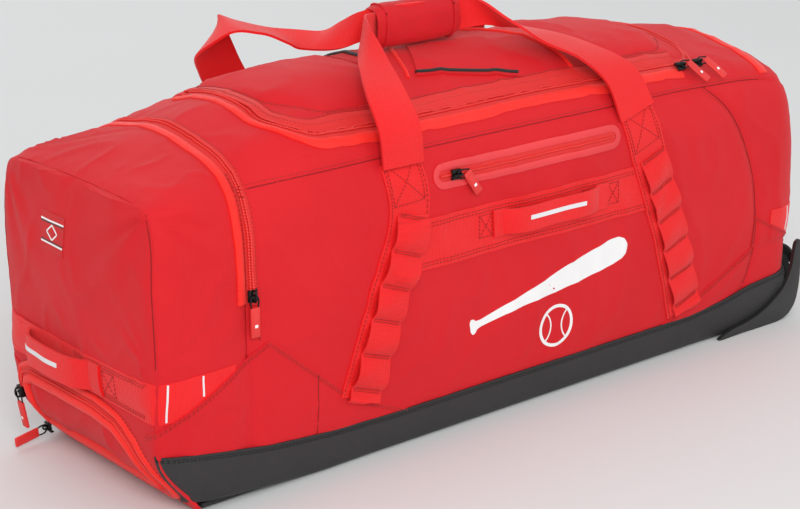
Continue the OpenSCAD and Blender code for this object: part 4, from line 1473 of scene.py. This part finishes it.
FRONT_ROUTE = [
    (-158, -128.4, 283), (-161, -126, 318), (-160, -106, 346), (-152, -78, 366), (-138, -46, 382), (-118, -20,
            386), (-98, -9, 384),
    (14, -9, 384), (30, -18, 386), (52, -42, 376), (80, -66, 362), (112, -92, 346), (136, -116, 324), (152,
    -128.4, 283)]
FRONT_SIDES = [
    (-1, 0, 0), (-1, 0, 0), (-1, -0.1, 0), (-1, -0.3, -0.2), (-0.8, -0.4, -0.8), (-0.3, -0.2, -1), (0, 0,
            -1), (0, 0, -1),
    (0.3, -0.3, -1), (0.7, 0.6, -0.4), (1, 0.7, 0), (1, 0.6, 0.1), (1, 0.2, 0.2), (1, 0, 0.3)]
FRONT_WIDTHS = [48, 48, 48, 44, 36, 30, 30, 30, 30, 36, 44, 48, 48, 48]
BACK_ROUTE = [
    (-158, 128.4, 283), (-170, 132, 312), (-188, 126, 340), (-203, 112, 370), (-198, 100, 384), (-172, 94,
            379), (-137, 84, 367),
    (-118, 60, 364), (-108, 32, 372), (-98, 9, 383), (14, 9, 383), (32, 30, 378), (62, 58, 372), (104, 90,
            354), (136, 118, 326),
    (152, 128.4, 283)]
BACK_SIDES = [
    (1, 0, 0), (1, 0, 0.3), (1, 0, 0.4), (0.9, 0.3, 0.5), (0.4, 0.9, 0.2), (0.1, 1, 0.1), (0.3, 0.9,
            0.2), (0.8, 0.3, 0.4),
    (0.5, 0.3, 0.8), (0, 0, 1), (0, 0, 1), (-0.1, 0.3, 0.9), (-0.5, 0.7, 0.3), (-0.9, 0.5, 0), (-1, 0.2, 0),
    (-1, 0, 0)]
BACK_WIDTHS = [48, 48, 48, 48, 48, 44, 36, 30, 30, 30, 30, 32, 38, 48, 48, 48]


def grip():
    """The padded wrap that closes round both straps, open along its back edge."""
    lo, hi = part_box("grip_wrap")
    x = np.linspace(0, 1, 46)
    a = np.radians(np.linspace(28, 332, 60))
    cy, cz = (lo.y + hi.y) / 2, (lo.z + hi.z) / 2
    ry, rz = (hi.y - lo.y) / 2, (hi.z - lo.z) / 2
    X, A = np.meshgrid(x, a, indexing="ij")
    end = 1 - np.abs(2 * X - 1)
    swell = 0.84 + 0.16 * (1 - np.exp(-end * 9))
    n = 2.7
    c, s = np.cos(A), np.sin(A)
    k = (np.abs(c) ** n + np.abs(s) ** n) ** (-1 / n)
    tuck = 5 * MM * (1 - np.clip(np.sin((A - a[0]) / (a[-1] - a[0]) * math.pi) * 3, 0, 1))
    span = (hi.x - lo.x) / 2 - tuck
    P = vec((lo.x + hi.x) / 2 + (2 * X - 1) * span, cy + k * c * ry * swell, cz + k * s * rz * swell)
    bob = ripple(P, 45, 41) * 1.2 * MM
    hint = vec(0 * X, c, s)
    uv = np.stack([P[..., 0], A * 0.02], -1)
    wrap = slab("grip_wrap", P, hint, 3.2 * MM, M_GRIP, uv, out=bob, sharp=50)
    edges = [tube(f"grip_edge_{k}", P[k] + hint[k] * 0.6 * MM, np.full(len(a), 1.1 * MM), M_GRIP) for k in (4,
            -5)]
    return wrap, joined("grip_edges", edges)


def handles():
    """Both carrying handles and the grip wrap."""
    front_strap, _ = ribbon("front_handle", FRONT_ROUTE, FRONT_SIDES, FRONT_WIDTHS, 2.6 * MM, M_WEBBING)
    back_strap, _ = ribbon("back_handle", BACK_ROUTE, BACK_SIDES, BACK_WIDTHS, 2.6 * MM, M_WEBBING, count=180)
    keep(front_strap, "front_handle", "webbing", "front_handle")
    keep(back_strap, "back_handle", "webbing", "back_handle")
    wrap, edges = grip()
    keep(wrap, "front_handle", "grip_fabric", "grip_wrap")
    keep(edges, "front_handle", "grip_fabric")


def stripe(name, cover, chart, a, b):
    """A pale woven line along a grab handle, laid on the cover's outside."""
    line = resample(np.array([a, b]) * MM, 24)
    grid = np.stack([line - (0, 2.2 * MM), line, line + (0, 2.2 * MM)], 1)
    P, N = chart(grid[..., 0], grid[..., 1])
    return slab(name, cover.lay(P, N), N, 0.9 * MM, M_REFLECT, grid, out=0.5 * MM, sharp=50)


def grabs():
    """The front and end grab handles."""
    y = -HALF_W * 1000
    near = ribbon("front_grab", [(-38, y - 4.6, 205), (-33, y - 8, 205), (-24, y - 12.6, 205),
            (30, y - 14.5, 205), (84, y - 12.6, 205),
                                 (94, y - 8, 205), (99, y - 4.6, 205)], [(0, 0, 1)] * 7, [25] * 7, 2.6 * MM,
                                 M_WEBBING, 60)[0]
    keep(near, "front_grab", "webbing", "front_grab")
    x = NEAR_X * 1000
    end = ribbon("end_grab", [(x - 8, -37, 117), (x - 12, -28, 117), (x - 21, -12, 117), (x - 25, 20, 117),
            (x - 25, 40, 117),
                              (x - 21, 68, 117), (x - 11, 84, 117), (x - 7.5, 92, 117)], [(0, 0, -1)] * 8,
                              [28] * 8, 2.8 * MM, M_WEBBING,
                 60)[0]
    keep(end, "end_grab", "webbing", "end_grab")
    cover = Skin()
    cover.add(near, end)
    keep(stripe("front_grab_stripe", cover, wall, (-8, 206.5), (68, 206.5)), "front_grab", "white_print")
    keep(stripe("end_grab_stripe", cover, end_face, (72, 119), (8, 119)), "end_grab", "white_print")
    for k, x0 in enumerate((-0.039, 0.099)):
        keep(strip(f"front_grab_anchor_{k}", wall, [(x0 - 9 * MM, 0.205), (x0 + 9 * MM, 0.205)], 27 * MM,
                   M_WEBBING, thick=2.6 * MM, across=5),
             "bag", "webbing", *(("grab_anchors",) if k == 0 else ()))
        cross_box(bag_thread, wall, [(x0 - 26 * MM, 0.194), (x0 - 10 * MM, 0.194), (x0 - 10 * MM, 0.216),
                (x0 - 26 * MM, 0.216)])
        cross_box(bag_thread, wall, [(x0 + 26 * MM, 0.194), (x0 + 10 * MM, 0.194), (x0 + 10 * MM, 0.216),
                (x0 + 26 * MM, 0.216)])
    for k, y0 in enumerate((-0.037, 0.091)):
        keep(strip(f"end_grab_anchor_{k}", end_face, [(y0 - 8 * MM, 0.117), (y0 + 8 * MM, 0.117)], 30 * MM,
                   M_WEBBING, thick=2.8 * MM, across=5),
             "bag", "webbing")
        side = -1 if k == 0 else 1
        cross_box(bag_thread, end_face,
                  [(y0 + side * 10 * MM, 0.106), (y0 + side * 30 * MM, 0.106), (y0 + side * 30 * MM, 0.128),
                                         (y0 + side * 10 * MM, 0.128)])


def label():
    """The near end's woven label."""
    lo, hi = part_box("end_label")
    a, b = resample([(hi.y, lo.z), (hi.y, hi.z)], 12), resample([(lo.y, lo.z), (lo.y, hi.z)], 12)
    tag = patch("end_label", end_face, a, b, (12, 12), M_LABEL, thick=0.8 * MM)
    keep(tag, "near_flap", "woven_label", "end_label")
    skin.add(tag)
    tall = hi.z - lo.z
    for name, share, width, finish in (("top_white", 0.80, 1.6, M_PRINT), ("top_black", 0.75, 1.0, M_EDGE),
            ("low_black", 0.27, 1.0, M_EDGE),
                                       ("low_white", 0.22, 1.6, M_PRINT)):
        z = lo.z + tall * share
        keep(strip(f"label_{name}", end_face, [(hi.y - 0.5 * MM, z), (lo.y + 0.5 * MM, z)], width * MM,
                   finish, thick=0.25 * MM, across=3, crown=0,
                   sink=0.2 * MM), "near_flap", "woven_label")
    mid = (lo.y + hi.y) / 2
    diamond = np.array([(0, 7), (9, 0), (0, -7), (-9, 0), (0, 7)]) * MM + (mid, lo.z + tall * 0.51)
    keep(strip("label_mark", end_face, diamond, 1.4 * MM, M_PRINT, thick=0.25 * MM, step=2 * MM, across=3,
               crown=0, sink=0.2 * MM), "near_flap",
         "woven_label")


# ---------- sliders and pulls ----------

PIVOTS = {j["name"]: Vector(j["pos_m"]) for j in frame["joints"] if "pos_m" in j}
AXIS_H, ARM_L, TAB_L = 5.3 * MM, 12 * MM, 27 * MM


def turn(axis, degrees):
    """A rotation about one axis."""
    return Matrix.Rotation(math.radians(degrees), 4, axis)


ZIPS = {
    # zip: (turn on the bag, how far the pull stands up, how far its tab hangs aside, CAD slider, CAD pull)
    "lid_a": (turn("X", 42) @ turn("Z", 90), 0, -66, "lid_slider_a", "lid_pull_a"),
    "lid_b": (turn("X", 42) @ turn("Z", 90), 0, -66, "lid_slider_b", "lid_pull_b"),
    "end": (turn("X", 90), 0, 0, "end_slider", "end_pull"),
    "pocket": (turn("X", 90) @ turn("Z", 90), 0, -55, "pocket_slider", "pocket_pull"),
    "shoe_a": (turn("Y", -99.5) @ turn("Z", -90), 0, 0, "shoe_slider_a", "shoe_pull_a"),
    "shoe_b": (turn("Y", -95), 80, 0, "shoe_slider_b", "shoe_pull_b"),
}


def bevelled(name, lo, hi, r, material, segments=3, taper=0.0):
    """A box with rounded edges."""
    bm = bmesh.new()
    bmesh.ops.create_cube(bm, size=1)
    lo, hi = np.array(lo) * MM, np.array(hi) * MM
    for v in bm.verts:
        v.co = Vector(((lo + hi) / 2 + np.array(v.co) * (hi - lo)))
        if taper and v.co.y < (lo[1] + hi[1]) / 2:
            v.co.x *= 1 - taper
    bmesh.ops.bevel(bm, geom=bm.edges[:], offset=r * MM, segments=segments, profile=0.5, affect="EDGES")
    mesh = bpy.data.meshes.new(name)
    bm.to_mesh(mesh)
    bm.free()
    mesh.materials.append(material)
    mesh.uv_layers.new(name="UVMap")
    mesh.shade_smooth()
    mesh.set_sharp_from_angle(angle=math.radians(50))
    obj = bpy.data.objects.new(name, mesh)
    bpy.context.scene.collection.objects.link(obj)
    return obj


def bent_wire(name, points, r, material, count=24, sides=10):
    """A round wire through a few points in millimetres."""
    P = rounded(np.array(points, float) * MM, count)
    return tube(name, P, np.full(count, r * MM), material, sides)


def slider(name):
    """Slider: a waisted plate with flanges over the coil, and the bail that its pull hangs on."""
    return joined(name, [
        bevelled(name + "_p", (-4.6, -6, 2.2), (4.6, 6, 4.2), 0.9, M_SLIDER, taper=0.18),
        bevelled(name + "_l", (-4.9, -5.4, 0.3), (-3.6, 5.4, 3.6), 0.5, M_SLIDER),
        bevelled(name + "_r", (3.6, -5.4, 0.3), (4.9, 5.4, 3.6), 0.5, M_SLIDER),
        bent_wire(name + "_b", [(0, -5, 3.6), (0, -4.7, 6.6), (0, -2.5, 7.9), (0, 2.5, 7.9), (0, 4.7, 6.6),
                (0, 5, 3.6)], 1.1, M_SLIDER),
    ])


def pull_tab(name, kink):
    """Wire loop and moulded tab, built round the pull's pivot."""
    loop = bent_wire(name + "_w", [(-3.4, -ARM_L / MM - 2, 0), (-3.4, -1.4, 0), (-2.4, -0.1, 0),
            (2.4, -0.1, 0), (3.4, -1.4, 0),
                                   (3.4, -ARM_L / MM - 2, 0)], 0.75, M_SLIDER, 30)
    tab = bevelled(name + "_t", (-4.8, -TAB_L / MM, -1.6), (4.8, 1.2, 1.7), 1.3, M_PULL, 3)
    rib = bevelled(name + "_r", (-3.4, -TAB_L / MM + 2.2, 1.2), (3.4, -3.2, 2.1), 0.6, M_PULL, 2)
    dot = bevelled(name + "_d", (-1.7, -17.5, 1.4), (1.7, -14.5, 2.35), 0.45, M_PRINT, 2)
    swing = Matrix.Translation((0, 0.5 * MM - ARM_L, 0)) @ turn("Z", kink)
    for part in (tab, rib, dot):
        part.data.transform(swing)
    return joined(name, [loop, tab, rib, dot])


def zip_hardware():
    """Each zip's slider and pull, set in its place."""
    for key, (place, lift, kink, cad_slider, cad_pull) in ZIPS.items():
        pivot = PIVOTS[key + "_pull_swing"]
        body = slider(key + "_runner")
        body.data.transform(Matrix.Translation(pivot - place @ Vector((0, 0, AXIS_H))) @ place)
        keep(body, key + "_slider", "zip_slider", cad_slider)
        tab = pull_tab(key + "_tab", kink)
        tab.data.transform(Matrix.Translation(pivot) @ place @ turn("X", -lift))
        keep(tab, key + "_pull", "pull_rubber", cad_pull)


# ---------- wheels and their housings ----------

GUARD = np.array([
    (300, 2), (340, 1), (378, 0.4), (402, 1), (417, 6), (427, 17), (431.5, 33), (433, 60), (432.5, 80), (429,
            92), (424, 90),
    (421, 80), (418, 62), (407, 41), (388, 27), (365, 16.5), (340, 11), (318, 8)]) * MM


def guard():
    """The moulded corner guard: a curved blade outside the base and the wheel."""
    loop = np.concatenate([GUARD, GUARD[:3]]) - (5 * MM, 0)
    run = np.concatenate([[0], np.cumsum(np.linalg.norm(np.diff(loop, axis=0), axis=1))])
    outline = smooth(run, loop, np.linspace(run[1], run[len(GUARD) + 1], 121))[:-1]
    outline[:, 1] = np.maximum(outline[:, 1], 0.3 * MM)
    mesh = bpy.data.meshes.new("guard")
    y = -HALF_W - 2.2 * MM
    bm = bmesh.new()
    base = [bm.verts.new((p[0], y, p[1])) for p in outline]
    face = bm.faces.new(base)
    moved = bmesh.ops.extrude_face_region(bm, geom=[face])
    bmesh.ops.translate(bm, vec=(0, -4.8 * MM, 0),
                        verts=[v for v in moved["geom"] if isinstance(v, bmesh.types.BMVert)])
    bmesh.ops.recalc_face_normals(bm, faces=bm.faces)
    bm.to_mesh(mesh)
    bm.free()
    mesh.materials.append(M_PLASTIC)
    obj = bpy.data.objects.new("guard_front", mesh)
    bpy.context.scene.collection.objects.link(obj)
    soften(obj, 1.4 * MM, 4)
    return obj


def soften(obj, width, segments=3, angle=35):
    """Rounds the edges of a hard piece and applies it."""
    bevel = obj.modifiers.new("round", "BEVEL")
    bevel.width, bevel.segments, bevel.limit_method, bevel.angle_limit = width, segments, "ANGLE", math.radians(angle)
    bpy.context.view_layer.update()
    mesh = bpy.data.meshes.new_from_object(obj.evaluated_get(bpy.context.evaluated_depsgraph_get()))
    obj.modifiers.clear()
    obj.data = mesh
    mesh.shade_smooth()
    mesh.set_sharp_from_angle(angle=math.radians(30))


def well():
    """Liner of the wheel's recess: an arch over the tyre and the wall behind it."""
    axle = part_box("wheel_front")
    cx, cz = (axle[0].x + axle[1].x) / 2, (axle[0].z + axle[1].z) / 2
    lo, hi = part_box("housing_front")
    r = 45.5 * MM
    a = np.radians(np.linspace(18, 196, 46))
    y = np.linspace(-0.1205, -0.0835, 7)
    A, Y = np.meshgrid(a, y, indexing="ij")
    arch = slab("well_arch", vec(cx + r * np.cos(A), Y, cz + r * np.sin(A)),
                vec(-np.cos(A), 0 * A, -np.sin(A)), 2.4 * MM, M_PLASTIC,
                np.stack([A * r, Y], -1))
    wall_back = bevelled("well_wall", (lo.x / MM + 43, -84, 1.2), (hi.x / MM - 3, -80.3, hi.z / MM), 1.2,
                         M_PLASTIC)
    outer = bevelled("well_outer", (cx / MM - 46, -121.2, 9), (cx / MM + 16, -118.6, 89), 1.0, M_PLASTIC)
    return joined("well_front", [arch, wall_back, outer])


def wheels():
    """The guards, the wells and the wheels."""
    blade = keep(guard(), "bag", "moulded_black", "housing_front")
    keep(mirrored(blade, "guard_back"), "bag", "moulded_black", "housing_back")
    liner = keep(well(), "bag", "moulded_black")
    keep(mirrored(liner, "well_back"), "bag", "moulded_black")
    for node, material in (("wheel_front", M_TYRE), ("wheel_back", M_TYRE), ("hub_front", M_HUB),
                           ("hub_back", M_HUB), ("axles", M_STEEL),
                           ("housing_rivets", M_STEEL), ("bottom_board", M_LINING), ("shoe_shelf", M_LINING)):
        mesh = frame["nodes"][node].data
        for k in range(max(1, len(mesh.materials))):
            if len(mesh.materials) == 0:
                mesh.materials.append(material)
            mesh.materials[k] = material


def seams():
    """Narrow dark strips of painted shade along the sewn lines where the panels meet, standing in for the shadow in
    each seam's groove.
    """
    x = np.linspace(FLAP_X + 14 * MM, 0.352, 60)
    lines = [
        (wall, np.stack([x, [seam_height(v) - 0.5 * MM for v in x]], 1)),
        (wall, np.array([(-0.4265, 0.15), (-0.4265, 0.286)])),
        (wall, np.array([(FLAP_X + 13 * MM, 0.185), (FLAP_X + 13 * MM, 0.152)])),
        (wall, np.array([(-0.262, 0.104), (-0.262, 0.043)])),
        (wall, np.array([p for p in rounded(WHEEL_SEAM, 80) if p[1] > boot_rim(p[0]) + 2 * MM])),
    ]
    for k, (chart, path) in enumerate(lines):
        body = "near_flap" if k == 1 else "bag"
        # Each strip is painted shade: a dark sheet laid along the seam in place of its shadow.
        seam = keep(strip(f"seam_{k}", chart, path, 1.1 * MM, M_SEAM_SHADOW, thick=0.12 * MM, across=3, crown=0,
                          sink=0.3 * MM), body, "body_fabric")
        keep(mirrored(seam, f"seam_{k}_back"), body, "body_fabric")
        if k in (0, 4):
            bag_thread.row(chart, path, shift=3.4 * MM, size=0.35 * MM, lift=0.15 * MM)


def divider():
    """The wall between the main room and the near end, cut to the section there."""
    x = sum(v.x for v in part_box("end_divider")) / 2
    u = np.linspace(-1, 0, 40)
    P, _ = over(np.full(40, x), u)
    y, z = P[:, 1] * 0.93, (P[:, 2] - 0.11) * 0.93 + 0.11
    s = np.linspace(0, 1, 20)[None, :]
    Y = y[:, None] * (1 - 2 * s)
    Z = np.broadcast_to(z[:, None], Y.shape)
    foot = vec(x + 0 * Y, Y, Z)
    low = np.array(foot[:1])
    low[..., 2] = 6 * MM
    P = np.concatenate([low, foot[3:]])
    keep(slab("inner_divider", P, vec(-1 + 0 * P[..., 0], 0 * P[..., 0], 0 * P[..., 0]), 3 * MM, M_LINING,
              P[..., 1:]), "bag", "lining",
         "end_divider")


divider()
boot, boot_edge = base_pieces()
near_end_pieces()
wheel_low_pieces()
bands()
patches()
skin.add(boot)
for drop in (3.0, 5.2):
    base_thread.row(wall, boot_edge - (0, drop * MM), pitch=4 * MM)
straps_and_bars()
seams()
emblem()
pocket()
lid_zip()
end_zip()
lid_details()
handles()
grabs()
label()
zip_hardware()
wheels()
keep(bag_thread.piece("bag_stitching", M_THREAD), "bag", "webbing")
keep(lid_thread.piece("lid_stitching", M_THREAD), "lid", "body_fabric")
keep(flap_thread.piece("flap_stitching", M_THREAD), "near_flap", "zip_binding")
keep(base_thread.piece("base_stitching", M_THREAD_DARK), "bag", "coated_base")
keep(door_thread.piece("door_stitching", M_THREAD), "shoe_door", "body_fabric")


def finish_pieces():
    """Names each piece, sets it on its body and hides the CAD nodes that it stands for."""
    for obj, body, slot, stands_for in pieces.values():
        obj.name = obj.name.replace(".001", "_look")
        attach(obj, body)
        if stands_for:
            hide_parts(*stands_for)


for o in (gusset, end_upper):
    flap_blend(o)
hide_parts("flap_gusset")
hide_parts("flap_end_panel")

finish_pieces()

# ---------- floor and light ----------


def floor():
    """The pale floor."""
    mesh = bpy.data.meshes.new("floor")
    s = 9
    mesh.from_pydata([(-s, -s, 0), (s, -s, 0), (s, s, 0), (-s, s, 0)], [], [(0, 1, 2, 3)])
    n = Nodes("floor_paper")
    n.tint(srgb(0.86, 0.865, 0.865), srgb(0.85, 0.855, 0.855), n.noise(3))
    n.shader.inputs["Roughness"].default_value = 0.9
    mesh.materials.append(n.material)
    obj = bpy.data.objects.new("floor", mesh)
    bpy.context.scene.collection.objects.link(obj)


floor()
world = bpy.data.worlds.new("studio")
world.use_nodes = True
world.node_tree.nodes["Background"].inputs["Color"].default_value = (0.92, 0.925, 0.93, 1)
world.node_tree.nodes["Background"].inputs["Strength"].default_value = 0.88
bpy.context.scene.world = world
bpy.context.scene.view_settings.view_transform = "Standard"
